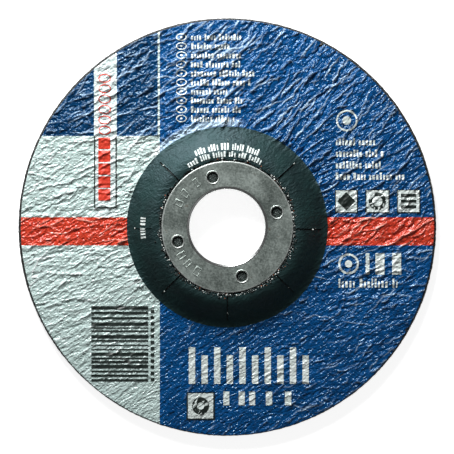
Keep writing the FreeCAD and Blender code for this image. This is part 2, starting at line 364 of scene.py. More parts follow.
def new_material(name: str, patterns: dict[str, tuple[float, float, float]]
                 ) -> tuple[bpy.types.Material, bpy.types.NodeTree, dict]:
    """Starts a node material with the noises that it reads.

    Args:
        name: Name of the material.
        patterns: Width of the features in millimetres, detail and roughness of each noise.

    Returns:
        The material, its node tree, and the noises with the Object coordinates as "place".
    """
    material = bpy.data.materials.new(name)
    material.use_nodes = True
    tree = material.node_tree
    tree.nodes.clear()
    place = add_node(tree, "ShaderNodeTexCoord").outputs["Object"]
    noises = {"place": place}
    for key, (size, detail, roughness) in patterns.items():
        noises[key] = add_node(tree, NOISE, {"Vector": place, "Scale": per_mm(size),
                                             "Detail": detail, "Roughness": roughness}).outputs[0]
    return material, tree, noises


def overlaid(tree: bpy.types.NodeTree, value: bpy.types.NodeSocket, levels: Pair, under: object,
             over: str, most: float = 1.0) -> bpy.types.NodeSocket:
    """Lays one colour over another where a value is high.

    Args:
        tree: Node tree of the material.
        value: Value that says where.
        levels: Value at which the upper colour starts and value at which it is full.
        under: Lower colour, a hex value or an output socket.
        over: Hex value of the upper colour.
        most: Greatest share of the upper colour.

    Returns:
        The mixed colour.
    """
    share = add_node(tree, RANGE, (value, *levels, 0.0, most)).outputs[0]
    below = linear(under) if isinstance(under, str) else under
    return add_node(tree, "ShaderNodeMix", {"Factor": share, "A": below, "B": linear(over)},
                    data_type="RGBA").outputs[2]


def finish_surface(tree: bpy.types.NodeTree, inputs: dict, height: bpy.types.NodeSocket,
                   depth: float) -> None:
    """Ends a material in one Principled shader with a bump.

    Args:
        tree: Node tree of the material.
        inputs: Values and sockets of the shader.
        height: Height of the bump, 0 to 1.
        depth: Depth of the bump in millimetres.
    """
    normal = add_node(tree, "ShaderNodeBump",
                      {"Height": height, "Distance": depth * MM, "Strength": 1.0}).outputs["Normal"]
    shader = add_node(tree, "ShaderNodeBsdfPrincipled", {**inputs, "Normal": normal})
    add_node(tree, "ShaderNodeOutputMaterial", {"Surface": shader.outputs["BSDF"]})


@dataclass(frozen=True)
class VarnishedPrint:
    """Offset-printed label paper under a thin varnish, pressed onto hard grain.

    The ink is nearly even in colour, cloudy over some millimetres, and lighter on the crests of
    the creases and on the folds, where it is rubbed thin and a highlight is painted, and in a
    painted highlight band where the paper climbs the hub. The varnish shines on the sides that face
    the light. The paper's fibres are 0.03 mm wide; they are drawn at 0.45 mm, the finest that
    shows.
    """

    name: str
    ink: str
    deep: str
    lightened: str
    wear_and_highlight_share: float
    roughness: Pair = (0.18, 0.27)
    bump: float = 0.15
    pull: float = 33.0
    stretch: float = 3.2
    sheen: str = "#ffffff"
    ior: float = 1.5

    def material(self) -> bpy.types.Material:
        """Builds the material.

        Returns:
            The material.
        """
        material, tree, noises = new_material(self.name, {
            "cloud": (7.0, 3.0, 0.6), "speck": (0.5, 2.0, 0.5), "crinkle": (1.0, 1.0, 0.5),
            "fibre": (0.45, 3.0, 0.6)})
        colour = overlaid(tree, noises["cloud"], (0.35, 0.65), self.deep, self.ink)
        colour = overlaid(tree, noises["speck"], (0.64, 0.84), colour, self.lightened, 0.4 * self.wear_and_highlight_share)
        # lighter ink on crests and folds, where ink is rubbed thin and a highlight is painted, and
        # in a painted highlight band where the paper climbs the hub
        wear_and_highlight = add_node(tree, "ShaderNodeAttribute", attribute_name="wear_and_highlight").outputs["Fac"]
        colour = overlaid(tree, wear_and_highlight, (0.0, 1 / self.wear_and_highlight_share), colour, self.lightened)
        pulled = add_node(tree, "ShaderNodeMapping",
                          {"Vector": noises["place"], "Rotation": (0, 0, math.radians(self.pull)),
                           "Scale": (self.stretch, 1.0, 1.0)}, vector_type="TEXTURE").outputs[0]
        crease = add_node(tree, NOISE, {"Vector": pulled, "Scale": per_mm(1.5), "Detail": 1.0})
        lines = (self.ridges(tree, crease.outputs[0], 0.16),
                 self.ridges(tree, noises["crinkle"], 0.25))
        height = add_node(tree, MATH, lines, operation="ADD").outputs[0]
        height = add_node(tree, MATH, (noises["fibre"], 0.4, height),
                          operation="MULTIPLY_ADD").outputs[0]
        rough = add_node(tree, RANGE, (noises["cloud"], 0.3, 0.7, *self.roughness)).outputs[0]
        finish_surface(tree, {"Base Color": colour, "Roughness": rough, "IOR": self.ior,
                              "Specular Tint": linear(self.sheen)}, height, self.bump)
        return material

    @staticmethod
    def ridges(tree: bpy.types.NodeTree, value: bpy.types.NodeSocket,
               width: float) -> bpy.types.NodeSocket:
        """Sharp crests along the lines where a noise crosses its middle.

        Args:
            tree: Node tree of the material.
            value: The noise.
            width: Distance from the noise's middle at which a crest ends.

        Returns:
            Height of the crests, 0 to 1.
        """
        off = add_node(tree, MATH, (value, 0.5), operation="SUBTRACT").outputs[0]
        away = add_node(tree, MATH, (off,), operation="ABSOLUTE").outputs[0]
        return add_node(tree, RANGE, (away, 0.0, width, 1.0, 0.0)).outputs[0]


@dataclass(frozen=True)
class PrintInk:
    """Spots and lines printed on the label: one opaque ink with the paper's grain in it, which is
    drawn at 0.42 mm, the finest that shows. Crumbs have it too, in their own colours."""

    name: str
    ink: str
    deep: str
    roughness: float = 0.45

    def material(self) -> bpy.types.Material:
        """Builds the material.

        Returns:
            The material.
        """
        material, tree, noises = new_material(self.name, {"cloud": (0.9, 3.0, 0.6),
                                                          "fibre": (0.42, 3.0, 0.6)})
        colour = overlaid(tree, noises["cloud"], (0.35, 0.7), self.ink, self.deep)
        finish_surface(tree, {"Base Color": colour, "Roughness": self.roughness, "IOR": 1.5},
                       noises["fibre"], 0.05)
        return material


@dataclass(frozen=True)
class BondedGrit:
    """Fused-alumina grain of 0.7 mm in dark phenolic resin, hot pressed.

    Dull between the grains, with grey-brown facets that catch the light one by one. The dust
    between them is drawn at 0.25 mm, the finest that shows.
    """

    name: str
    resin: str = "#060a0a"
    grain_dark: str = "#0e1413"
    grain_light: str = "#2c302c"
    grain_size: float = 0.7

    def material(self) -> bpy.types.Material:
        """Builds the material.

        Returns:
            The material.
        """
        material, tree, noises = new_material(self.name, {"dust": (0.25, 3.0, 0.6)})
        cells = add_node(tree, "ShaderNodeTexVoronoi", {"Vector": noises["place"],
                                                        "Scale": per_mm(self.grain_size)}).outputs
        tone = add_node(tree, "ShaderNodeSeparateColor", (cells["Color"],)).outputs["Red"]
        colour = overlaid(tree, tone, (0.3, 1.0), self.grain_dark, self.grain_light)
        colour = overlaid(tree, cells["Distance"], (0.3, 0.6), colour, self.resin)
        dome = add_node(tree, RANGE, (cells["Distance"], 0.1, 0.7, 1.4, 0.0)).outputs[0]
        height = add_node(tree, MATH, (noises["dust"], dome), operation="ADD").outputs[0]
        rough = add_node(tree, RANGE, (tone, 0.0, 1.0, 0.35, 0.75)).outputs[0]
        finish_surface(tree, {"Base Color": colour, "Roughness": rough, "IOR": 1.55}, height, 0.12)
        return material


@dataclass(frozen=True)
class ResinSoakedYarn:
    """Glass roving soaked in phenolic resin: brown-black, with the fibres' fine lines along it."""

    name: str
    along_x: bool
    resin: str = "#2c2b24"
    fibre: str = "#6f6a57"
    fibre_width: float = 0.16
    stretch: float = 0.06

    def material(self) -> bpy.types.Material:
        """Builds the material. Real fibres are 0.01 mm wide; 0.16 mm is the finest that shows.

        Returns:
            The material.
        """
        material, tree, noises = new_material(self.name, {"cloud": (2.5, 2.0, 0.5)})
        scale = (self.stretch, 1.0, 1.0) if self.along_x else (1.0, self.stretch, 1.0)
        run = add_node(tree, "ShaderNodeMapping", {"Vector": noises["place"], "Scale": scale})
        lines = add_node(tree, NOISE, {"Vector": run.outputs[0], "Scale": per_mm(self.fibre_width),
                                       "Roughness": 0.55}).outputs[0]
        colour = overlaid(tree, lines, (0.4, 0.65), self.resin, self.fibre)
        colour = overlaid(tree, noises["cloud"], (0.45, 0.7), colour, self.resin, 0.7)
        finish_surface(tree, {"Base Color": colour, "Roughness": 0.42, "IOR": 1.52}, lines, 0.08)
        return material


@dataclass(frozen=True)
class PressedSteel:
    """Zinc-plated sheet steel, blanked and pressed: a grey, faintly green and cloudy surface with
    small dark pits, and brown stains where damp got at it."""

    name: str
    light: str
    dark: str
    roughness: Pair
    stain: float = 0.0
    pits: float = 0.6
    tones: Pair = (0.85, 1.35)

    def material(self) -> bpy.types.Material:
        """Builds the material.

        Returns:
            The material.
        """
        material, tree, noises = new_material(self.name, {
            "cloud": (9.0, 5.0, 0.68), "fine": (0.45, 2.0, 0.6), "pit": (0.9, 1.0, 0.5),
            "patch": (2.2, 4.0, 0.7)})
        tone = add_node(tree, MATH, (noises["cloud"], 1.2, noises["fine"]),
                        operation="MULTIPLY_ADD").outputs[0]
        colour = overlaid(tree, tone, self.tones, self.dark, self.light)
        colour = overlaid(tree, noises["pit"], (0.70, 0.76), colour, "#1d211e", self.pits)
        colour = overlaid(tree, noises["patch"], (0.64, 0.74), colour, "#7a5434", self.stain)
        rough = add_node(tree, RANGE, (tone, *self.tones, *self.roughness)).outputs[0]
        finish_surface(tree, {"Base Color": colour, "Metallic": 1.0, "Roughness": rough},
                       tone, 0.012)
        return material


@dataclass(frozen=True)
class StudioFloor:
    """White studio paper. The camera, gloss and glass also see it glow a little, so it renders
    white, while the wheel's shadow stays on it."""

    name: str = "studio_floor"
    paper: str = "#e8e8e8"
    glow: float = 0.86

    def material(self) -> bpy.types.Material:
        """Builds the material.

        Returns:
            The material.
        """
        material, tree, _ = new_material(self.name, {})
        rays = add_node(tree, "ShaderNodeLightPath").outputs
        seen = rays["Is Camera Ray"]
        for kind in ("Is Glossy Ray", "Is Transmission Ray"):
            seen = add_node(tree, MATH, (seen, rays[kind]), operation="MAXIMUM").outputs[0]
        strength = add_node(tree, MATH, (seen, self.glow), operation="MULTIPLY").outputs[0]
        glow = add_node(tree, "ShaderNodeEmission", {"Strength": strength}).outputs[0]
        matte = add_node(tree, "ShaderNodeBsdfDiffuse", {"Color": linear(self.paper)}).outputs[0]
        both = add_node(tree, "ShaderNodeAddShader", (glow, matte)).outputs[0]
        add_node(tree, "ShaderNodeOutputMaterial", {"Surface": both})
        return material


# ---------------------------------------------------------------- the wheel's surfaces


@dataclass(frozen=True)
class Bell:
    """Bell shape of the wheel's middle: every layer lies at an offset over the working face."""

    foot: float = 29.8
    foot_bend: float = 4.2
    flat: float = 21.0
    shoulder_bend: float = 2.4
    rise: float = 4.6

    @property
    def slope(self) -> float:
        """Angle of the straight flank, the common tangent of the two bends.

        Returns:
            The angle in radians.
        """
        bends = self.foot_bend + self.shoulder_bend
        run, drop = self.foot - self.flat, bends - self.rise
        return math.asin(bends / math.hypot(run, drop)) - math.atan2(drop, run)

    def height(self, radius: np.ndarray, offset: float | np.ndarray,
               foot_radius: Optional[float] = None) -> np.ndarray:
        """Height of a layer.

        Args:
            radius: Distances from the axis.
            offset: Offset of the layer over the working face.
            foot_radius: Radius of the layer's foot bend, the moulding's own if not given.

        Returns:
            Heights over the floor.
        """
        slope, bend = self.slope, self.foot_bend - offset
        foot_bend = bend if foot_radius is None else foot_radius
        middle = self.foot - (bend - foot_bend) * math.tan(slope / 2)
        low = middle - foot_bend * math.sin(slope)
        inside = np.clip(middle - radius, 0, foot_bend * math.sin(slope))
        foot = offset + foot_bend - np.sqrt(foot_bend ** 2 - inside ** 2)
        flank = foot + np.clip(low - radius, 0, None) * math.tan(slope)
        top_bend = self.shoulder_bend + offset
        reach = np.clip(radius - self.flat, 0, top_bend * math.sin(slope))
        shoulder = self.rise - self.shoulder_bend + np.sqrt(top_bend ** 2 - reach ** 2)
        return np.where(radius < self.flat + top_bend * math.sin(slope), shoulder, flank)


@dataclass(frozen=True)
class Creases:
    """One kind of crease: how many, half lengths and widths, height, spread of the directions in
    degrees, and the share that stands up, where the others are grooves."""

    count: int
    lengths: Pair
    widths: Pair
    height: float
    scatter: float
    raised: float = 0.62


@dataclass
class CreasedPaper:
    """Relief that the label took when it was pressed onto the grain: long creases that run with
    the pull of the paper, short crinkles between them, thin raised folds and a pebbled ground."""

    pitch: float = 0.1
    reach: float = 63.0
    inner: float = 28.5
    kinds: tuple[Creases, ...] = (Creases(620, (2.5, 7.0), (0.18, 0.36), 0.30, 8.0),
                                  Creases(3200, (0.9, 2.6), (0.15, 0.3), 0.19, 17.0),
                                  Creases(9000, (0.25, 0.8), (0.16, 0.26), 0.12, 36.0))
    thin_folds: Creases = Creases(330, (1.6, 5.2), (0.10, 0.16), 0.24, 12.0, 1.0)
    fold_levels: Pair = (0.05, 0.17)
    ground: float = 0.02
    ground_size: float = 1.1
    smoothing: float = 0.075
    pull: float = 32.0
    pull_axis: float = 55.0
    turns: tuple[tuple[float, float, float], ...] = ((-13, 205, 32), (30, 254, 20))
    calm: tuple[float, float, float] = (0.45, 248, 26)
    lean: float = 0.36
    seed: int = 5
    relief: np.ndarray = field(init=False)
    wear_and_highlight: np.ndarray = field(init=False)
    folds: np.ndarray = field(init=False)

    def __post_init__(self) -> None:
        """Presses the creases, the longest first, then the folds and the ground."""
        count = int(2 * self.reach / self.pitch) + 1
        rng = np.random.default_rng(self.seed)
        self.relief = np.zeros((count, count))
        for kind in self.kinds:
            self.press(rng, kind)
        creased = self.relief.copy()
        self.press(rng, self.thin_folds)
        start, full = self.fold_levels
        # thin folds, which get lighter ink: rubbed ink and painted highlight
        folds = (self.relief - creased - start) / (full - start)
        self.folds = self.blurred(np.clip(folds, 0, 1), self.pitch / 2)
        pebbles = self.blurred(rng.normal(size=(count, count)), self.ground_size / 2.6)
        self.relief += pebbles / pebbles.std() * self.ground
        self.relief = self.blurred(self.relief, self.smoothing)
        # sharp crests, which get lighter ink: rubbed ink and painted highlight
        raised = self.relief - self.blurred(self.relief, 0.6)
        self.wear_and_highlight = np.clip(raised / (2.6 * raised.std()), 0, 1)

    def direction(self, place: float) -> float:
        """Direction in which the paper was pulled at an angle round the axis, in degrees.

        Args:
            place: The angle round the axis.

        Returns:
            The direction.
        """
        turn = self.pull + 7 * math.cos(math.radians(place - 50))
        turn += 8 * math.cos(math.radians(2 * (place - self.pull_axis)))
        for size, middle, spread in self.turns:
            turn += size * self.near(place, middle, spread)
        return turn

    @staticmethod
    def near(place: float, middle: float, spread: float) -> float:
        """1 at a direction from the axis and less away from it, all in degrees."""
        away = (place - middle + 180) % 360 - 180
        return math.exp(-(away / spread) ** 2)

    def press(self, rng: np.random.Generator, kind: Creases) -> None:
        """Adds the creases of one kind to the relief, highest at the top of the label.

        Args:
            rng: Seeded source of the creases.
            kind: Kind of crease to add.
        """
        calm, calm_place, calm_spread = self.calm
        for _ in range(kind.count):
            radius = math.sqrt(rng.uniform(self.inner ** 2, self.reach ** 2))
            place = rng.uniform(0, FULL_TURN)
            degrees = math.degrees(place)
            loose = 1 + 0.4 * (1 - math.cos(2 * (place - math.radians(self.pull_axis))))
            turn = math.radians(self.direction(degrees) + rng.normal(0, kind.scatter * loose))
            length, width = rng.uniform(*kind.lengths), rng.uniform(*kind.widths)
            bow, sway, phase = rng.normal(0, 0.035), rng.uniform(0, 0.25), rng.uniform(0, FULL_TURN)
            rise = kind.height * rng.uniform(0.45, 1.3)
            rise *= 1 if rng.random() < kind.raised else -0.8
            rise *= 1.0 + self.lean * math.cos(place - math.pi / 2)
            rise *= 1.0 - calm * self.near(degrees, calm_place, calm_spread)
            x, y = radius * math.cos(place), radius * math.sin(place)
            rows, columns, grid_y, grid_x = self.window(x, y, length * 1.25 + 3 * width)
            if grid_x.size == 0:
                continue
            dx, dy = grid_x - x, grid_y - y
            along = dx * math.cos(turn) + dy * math.sin(turn)
            across = dy * math.cos(turn) - dx * math.sin(turn)
            across = across - bow * along ** 2 - sway * np.sin(along * 1.7 + phase)
            taper = np.exp(-(along / length) ** 4)
            self.relief[rows, columns] += rise * taper * np.exp(-np.abs(across) / width)

    def window(self, x: float, y: float,
               half: float) -> tuple[slice, slice, np.ndarray, np.ndarray]:
        """Part of the relief within a distance of a place, and the places of its cells.

        Args:
            x: Place on X.
            y: Place on Y.
            half: The distance.

        Returns:
            Rows and columns of the part, and Y and X of its cells.
        """
        def cells(middle: float) -> slice:
            """Rows or columns within the distance of a middle."""
            first = max(0, int((middle - half + self.reach) / self.pitch))
            return slice(first, max(first, int((middle + half + self.reach) / self.pitch) + 1))

        rows, columns = cells(y), cells(x)
        count = len(self.relief)
        steps = np.arange(count) * self.pitch - self.reach
        grid_y, grid_x = np.meshgrid(steps[rows], steps[columns], indexing="ij")
        return rows, columns, grid_y, grid_x

    def blurred(self, cells: np.ndarray, size: float) -> np.ndarray:
        """Cells smoothed over a distance in millimetres.

        Args:
            cells: Square grid of values.
            size: The distance.

        Returns:
            The smoothed grid.
        """
        waves = np.fft.fftfreq(cells.shape[0], self.pitch)
        gain = np.exp(-2 * (math.pi * size * waves) ** 2)
        return np.fft.ifft2(np.fft.fft2(cells) * gain[:, None] * gain[None, :]).real

    def read(self, cells: np.ndarray, x: np.ndarray, y: np.ndarray) -> np.ndarray:
        """Values of the cells at places on the wheel, evened out between cells.

        Args:
            cells: Square grid of values.
            x: Places on X.
            y: Places on Y.

        Returns:
            One value for each place.
        """
        column = np.clip((x + self.reach) / self.pitch, 0, len(cells) - 1.001)
        row = np.clip((y + self.reach) / self.pitch, 0, len(cells) - 1.001)
        left, low = column.astype(int), row.astype(int)
        part_x, part_y = column - left, row - low
        below = cells[low, left] * (1 - part_x) + cells[low, left + 1] * part_x
        above = cells[low + 1, left] * (1 - part_x) + cells[low + 1, left + 1] * part_x
        return below * (1 - part_y) + above * part_y


def eased(value: np.ndarray, start: float, end: float) -> np.ndarray:
    """0 before the start and 1 after the end, with a smooth rise between."""
    part = np.clip((value - start) / (end - start), 0, 1)
    return part * part * (3 - 2 * part)


@dataclass(frozen=True)
class Slit:
    """Radial cut in the skin of the hub."""

    angle: float
    width: float
    start: float = 20.1
    end: float = 27.8

    def distance(self, x: np.ndarray, y: np.ndarray) -> np.ndarray:
        """Signed distance from the cut's line, far where a place is beyond its ends.

        Args:
            x: Places on X.
            y: Places on Y.

        Returns:
            One distance for each place.
        """
        turn = math.radians(self.angle)
        along = x * math.cos(turn) + y * math.sin(turn)
        across = y * math.cos(turn) - x * math.sin(turn)
        return np.where((along > self.start) & (along < self.end), across, FAR)


SLITS = (Slit(-1.5, 0.42), Slit(43.5, 0.46), Slit(90.0, 0.2, 21.5, 25.5), Slit(136.0, 0.42),
         Slit(181.0, 0.22, 22.5, 27.5), Slit(225.5, 0.40), Slit(270.0, 0.40), Slit(315.5, 0.36))


@dataclass
class LabelSurface:
    """Upper face of the label, on the flat and over the hub."""

    paper: CreasedPaper
    bell: Bell = field(default_factory=Bell)
    offset: float = 2.9
    foot_radius: float = 7.0
    hub_relief: float = 0.22
    hub_join: Pair = (29.2, 30.8)
    rim_fade: Pair = (61.5, 62.1)
    rim_calm: float = 0.8
    ruck: float = 31.3
    ruck_width: float = 1.1
    ruck_rise: float = 0.6
    lip: float = 0.09
    lip_width: float = 0.3
    # climb: a painted highlight band where the paper climbs the hub, only on the side that faces
    # the key lamp, 78 to 140 degrees round the axis
    climb: Pair = (78.0, 140.0)
    climb_ends: Pair = (14.0, 12.0)
    climb_width: float = 1.15
    climb_shift: tuple[float, float, float] = (0.5, 92.0, 115.0)
    climb_highlight: Pair = (3.0, 4.0)
    crest_levels: Pair = (0.45, 1.0)
    wear_and_highlight_from: Pair = (29.0, 31.0)
    most_wear_and_highlight: float = 3.2
    fold_wear_and_highlight: float = 2.9

    def height(self, x: np.ndarray, y: np.ndarray) -> np.ndarray:
        """Heights of the label's upper face, rucked at the hub's foot and lipped at the slits.

        Args:
            x: Places on X.
            y: Places on Y.

        Returns:
            Heights over the floor.
        """
        radius = np.hypot(x, y)
        share = self.hub_relief + (1 - self.hub_relief) * eased(radius, *self.hub_join)
        share = share * (1 - self.rim_calm * eased(radius, *self.rim_fade))
        ruck = self.ruck_rise * np.exp(-((radius - self.ruck) / self.ruck_width) ** 2)
        share = share * (1 + ruck)
        level = self.bell.height(radius, self.offset, self.foot_radius)
        lips = sum(self.lip * np.exp(-(slit.distance(x, y) / self.lip_width) ** 2)
                   for slit in SLITS)
        return level + share * self.paper.read(self.paper.relief, x, y) + lips

    def wear_and_highlight(self, x: np.ndarray, y: np.ndarray) -> np.ndarray:
        """Share of lighter ink: 1 on sharp crests and folds, where ink is rubbed thin and a
        highlight is painted, and about 3 in a painted highlight band where the paper climbs the hub
        on the side that faces the key lamp.

        Args:
            x: Places on X.
            y: Places on Y.

        Returns:
            One value for each place.
        """
        radius, turn = np.hypot(x, y), np.degrees(np.arctan2(y, x))
        relief = self.paper.read(self.paper.relief, x, y)
        # painted highlight band at the hub's foot, on the side that faces the key lamp
        (start, end), (rise, fall) = self.climb, self.climb_ends
        facing = eased(turn, start, start + rise) * (1 - eased(turn, end - fall, end))
        shift, shift_start, shift_end = self.climb_shift
        middle = self.ruck - shift * eased(turn, shift_start, shift_end)
        climb = facing * np.exp(-((radius - middle) / self.climb_width) ** 4)
        # sharp crests and folds: ink rubbed thin there, and painted highlight on them
        wear_and_highlight = eased(self.paper.read(self.paper.wear_and_highlight, x, y), *self.crest_levels)
        wear_and_highlight = np.maximum(wear_and_highlight, self.fold_wear_and_highlight * self.paper.read(self.paper.folds, x, y))
        wear_and_highlight *= eased(radius, *self.wear_and_highlight_from)
        climb *= np.clip(self.climb_highlight[0] + self.climb_highlight[1] * relief, 1.0, self.most_wear_and_highlight)
        return np.clip(wear_and_highlight + climb, 0, self.most_wear_and_highlight)


# ---------------------------------------------------------------- the label


class Field(Enum):
    """Colour fields of the label."""

    HUB = 0
    PALE = 1
    NAVY = 2
    RED = 3
    BLUE_UPPER = 4
    BLUE_LOWER = 5
    STRIP = 6


@dataclass
class Label:
    """Printed paper sheet with its colour fields, one piece for each field."""

    surface: LabelSurface
    outer: float = 61.85
    inner: float = 20.0
    hub_edge: float = 30.0
    columns: int = 1728
    row_width: float = 0.205
    hub_row_width: float = 0.34
    thickness: float = 0.14
    shift: Pair = (0.02, -0.22)
    oval: float = 0.14
    edge_waves: tuple[tuple[float, float, float], ...] = ((0.05, 5, 1.0), (0.03, 13, 0.0),
                                                          (0.02, 31, 2.0))
    edge_from: float = 58.5
    tear: float = 0.34
    tear_reach: float = 0.6
    divider: Pair = (-20.75, -20.15)
    strip: Pair = (-39.8, -33.0)
    navy_low: float = 27.15
    band: Pair = (-5.5, 2.9)

    def build(self) -> None:
        """Builds the sheet, cuts it into its fields and dresses them."""
        sheet = self.flat_sheet()
        self.cut_slits(sheet)
        self.score_borders(sheet)
        self.drape(sheet)
        looks = self.looks()
        slots = {Field.HUB: "navy_print", Field.PALE: "label_paper", Field.NAVY: "navy_print",
                 Field.RED: "red_print", Field.BLUE_UPPER: "blue_print",
                 Field.BLUE_LOWER: "blue_print", Field.STRIP: "label_paper"}
        nodes = {Field.PALE: "label_paper", Field.NAVY: "ink_navy", Field.RED: "ink_red",
                 Field.BLUE_LOWER: "ink_blue"}
        for kind in Field:
            piece = self.take_field(sheet, kind)
            piece.name = piece.data.name = f"label_{kind.name.lower()}"
            shade(piece)
            piece.data.materials.append(looks[kind])
            hand_over(piece, slots[kind], *([nodes[kind]] if kind in nodes else []))
        bpy.data.objects.remove(sheet)

    def looks(self) -> dict:
        """Material of each field.

        Returns:
            The materials by field.
        """
        blue = VarnishedPrint("varnished_blue_print", "#004a84", "#003e72", "#b4cce0", 0.3,
                              sheen="#d0f0ff").material()
        return {
            Field.HUB: VarnishedPrint("varnished_black_print", "#07231f", "#031210", "#4c6a6c",
                                      0.15, (0.55, 0.65), 0.06, sheen="#ccf4ff",
                                      ior=1.57).material(),
            Field.PALE: VarnishedPrint("varnished_grey_paper", "#bed2cf", "#b2c7c3", "#e8eeee",
                                       0.4).material(),
            Field.STRIP: VarnishedPrint("varnished_white_paper", "#cfdedd", "#c4d4d3", "#eef3f3",
                                        0.4).material(),
            Field.NAVY: VarnishedPrint("varnished_navy_print", "#003863", "#002f56", "#a4bfda",
                                       0.3, sheen="#d0f0ff").material(),
            Field.RED: VarnishedPrint("varnished_red_print", "#d0422b", "#c43722", "#f0b4a4",
                                      0.3).material(),
            Field.BLUE_UPPER: blue,
            Field.BLUE_LOWER: blue,
        }

    def flat_sheet(self) -> bpy.types.Object:
        """Sheet from the bore ring to the rim, flat, with its outer edge turned down.

        Returns:
            The sheet.
        """
        rows = int((self.outer - self.hub_edge) / self.row_width)
        outside = np.linspace(self.outer, self.hub_edge, rows + 1)
        hub_rows = int((self.hub_edge - self.inner) / self.hub_row_width)
        inside = np.linspace(self.hub_edge, self.inner, hub_rows + 1)[1:]
        profile = [(self.outer, -self.thickness), (self.outer, -self.thickness / 2)]
        profile += [(radius, 0.0) for radius in (*outside, *inside)]
        profile += [(self.inner, -self.thickness)]
        return turned("label_sheet", profile, self.columns)

    def cut_slits(self, sheet: bpy.types.Object) -> None:
        """Opens the radial slits in the hub's part of the sheet.

        Args:
            sheet: Sheet of the label.
        """
        middles = face_middles(sheet)
        gone = np.zeros(len(middles), bool)
        for slit in SLITS:
            gone |= np.abs(slit.distance(middles[:, 0], middles[:, 1])) < slit.width / 2
        select_faces(sheet, gone)
        bpy.ops.mesh.delete(type="FACE")
        close_piece()

    def score_borders(self, sheet: bpy.types.Object) -> None:
        """Cuts the flat sheet along the straight borders of the colour fields.

        Args:
            sheet: Sheet of the label.
        """
        open_piece(sheet)
        for place in (*self.divider, *self.strip):
            self.score(place, (1, 0, 0))
        for place in (self.navy_low, *self.band):
            self.score(place, (0, 1, 0))
        close_piece()

    @staticmethod
    def score(place: float, normal: tuple[int, int, int]) -> None:
        """Cuts the open mesh along one straight line.

        Args:
            place: Place of the line on the axis that it crosses.
            normal: Direction of that axis.
        """
        bpy.ops.mesh.select_all(action="SELECT")
        bpy.ops.mesh.bisect(plane_co=Vector(normal) * place * MM, plane_no=normal,
                            threshold=0.01 * MM)

    def drape(self, sheet: bpy.types.Object) -> None:
        """Lays the sheet on the wheel, its outer edge a little oval and off centre.

        Args:
            sheet: Sheet of the label.
        """
        points = points_of(sheet)
        x, y = points[:, 0].copy(), points[:, 1].copy()
        radius, turn = np.hypot(x, y), np.arctan2(y, x)
        edge = self.shift[0] * np.cos(turn) + self.shift[1] * np.sin(turn)
        edge += sum(size * np.sin(times * turn + start) for size, times, start in self.edge_waves)
        edge -= self.oval * np.cos(2 * turn)
        torn = np.sin(9 * turn) * np.sin(23 * turn + 1) + 0.5 * np.sin(67 * turn) ** 3
        moved = radius + edge * eased(radius, self.edge_from, self.outer)
        moved += self.tear * torn * (1 - eased(radius, self.inner, self.inner + self.tear_reach))
        points[:, 0], points[:, 1] = x * moved / radius, y * moved / radius
        points[:, 2] += self.surface.height(points[:, 0], points[:, 1])
        set_points(sheet, points)
        # share of lighter ink for the varnished print: rubbed ink and painted highlight
        wear_and_highlight = sheet.data.attributes.new("wear_and_highlight", "FLOAT", "POINT")
        wear_and_highlight.data.foreach_set("value", self.surface.wear_and_highlight(points[:, 0], points[:, 1]))

    def field_of_faces(self, sheet: bpy.types.Object) -> np.ndarray:
        """Number of the colour field that each face belongs to.

        Args:
            sheet: Draped sheet of the label.

        Returns:
            One number for each face.
        """
        middles = face_middles(sheet)
        x, y = middles[:, 0], middles[:, 1]
        fields = np.full(len(x), Field.PALE.value)
        fields[x > self.divider[1]] = Field.BLUE_UPPER.value
        fields[(x > self.divider[1]) & (y < self.band[0])] = Field.BLUE_LOWER.value
        beside_strip = (x < self.strip[0]) | (x > self.strip[1])
        fields[(x < self.divider[0]) & (y > self.navy_low) & beside_strip] = Field.NAVY.value
        fields[~beside_strip & (y > self.band[1])] = Field.STRIP.value
        fields[(y > self.band[0]) & (y < self.band[1])] = Field.RED.value
        fields[np.hypot(x, y) < self.hub_edge] = Field.HUB.value
        return fields

    def take_field(self, sheet: bpy.types.Object, kind: Field) -> bpy.types.Object:
        """Separates the faces of one field from the sheet.

        Args:
            sheet: Sheet with the fields that are left.
            kind: Field to take.

        Returns:
            The field's piece.
        """
        before = set(bpy.data.objects)
        select_faces(sheet, self.field_of_faces(sheet) == kind.value)
        bpy.ops.mesh.separate(type="SELECTED")
        close_piece()
        return (set(bpy.data.objects) - before).pop()


# ---------------------------------------------------------------- the print on the label


def strokes(seed: int, group: tuple[int, int], widths: Pair, gap: float, tall: float,
            low: Pair) -> Iterator[tuple[float, float, float]]:
    """Gives plain strokes of uneven height, grouped as in a line of type, without end.

    Args:
        seed: Seed of the draws.
        group: Least number of strokes in a group, and one more than the greatest.
        widths: Least and greatest width of a stroke.
        gap: Space between strokes, a third of the space between groups.
        tall: Share of the strokes that have the full height.
        low: Least and greatest height of the others, as a share of the full height.

    Yields:
        Width of a stroke, its share of the full height, and the step to the next one.
    """
    rng = np.random.default_rng(seed)
    left = int(rng.integers(*group))
    while True:
        width = rng.uniform(*widths)
        share = 1.0 if rng.random() < tall else rng.uniform(*low)
        left -= 1
        yield width, share, width + gap * (1 if left else 3)
        left = left or int(rng.integers(*group))


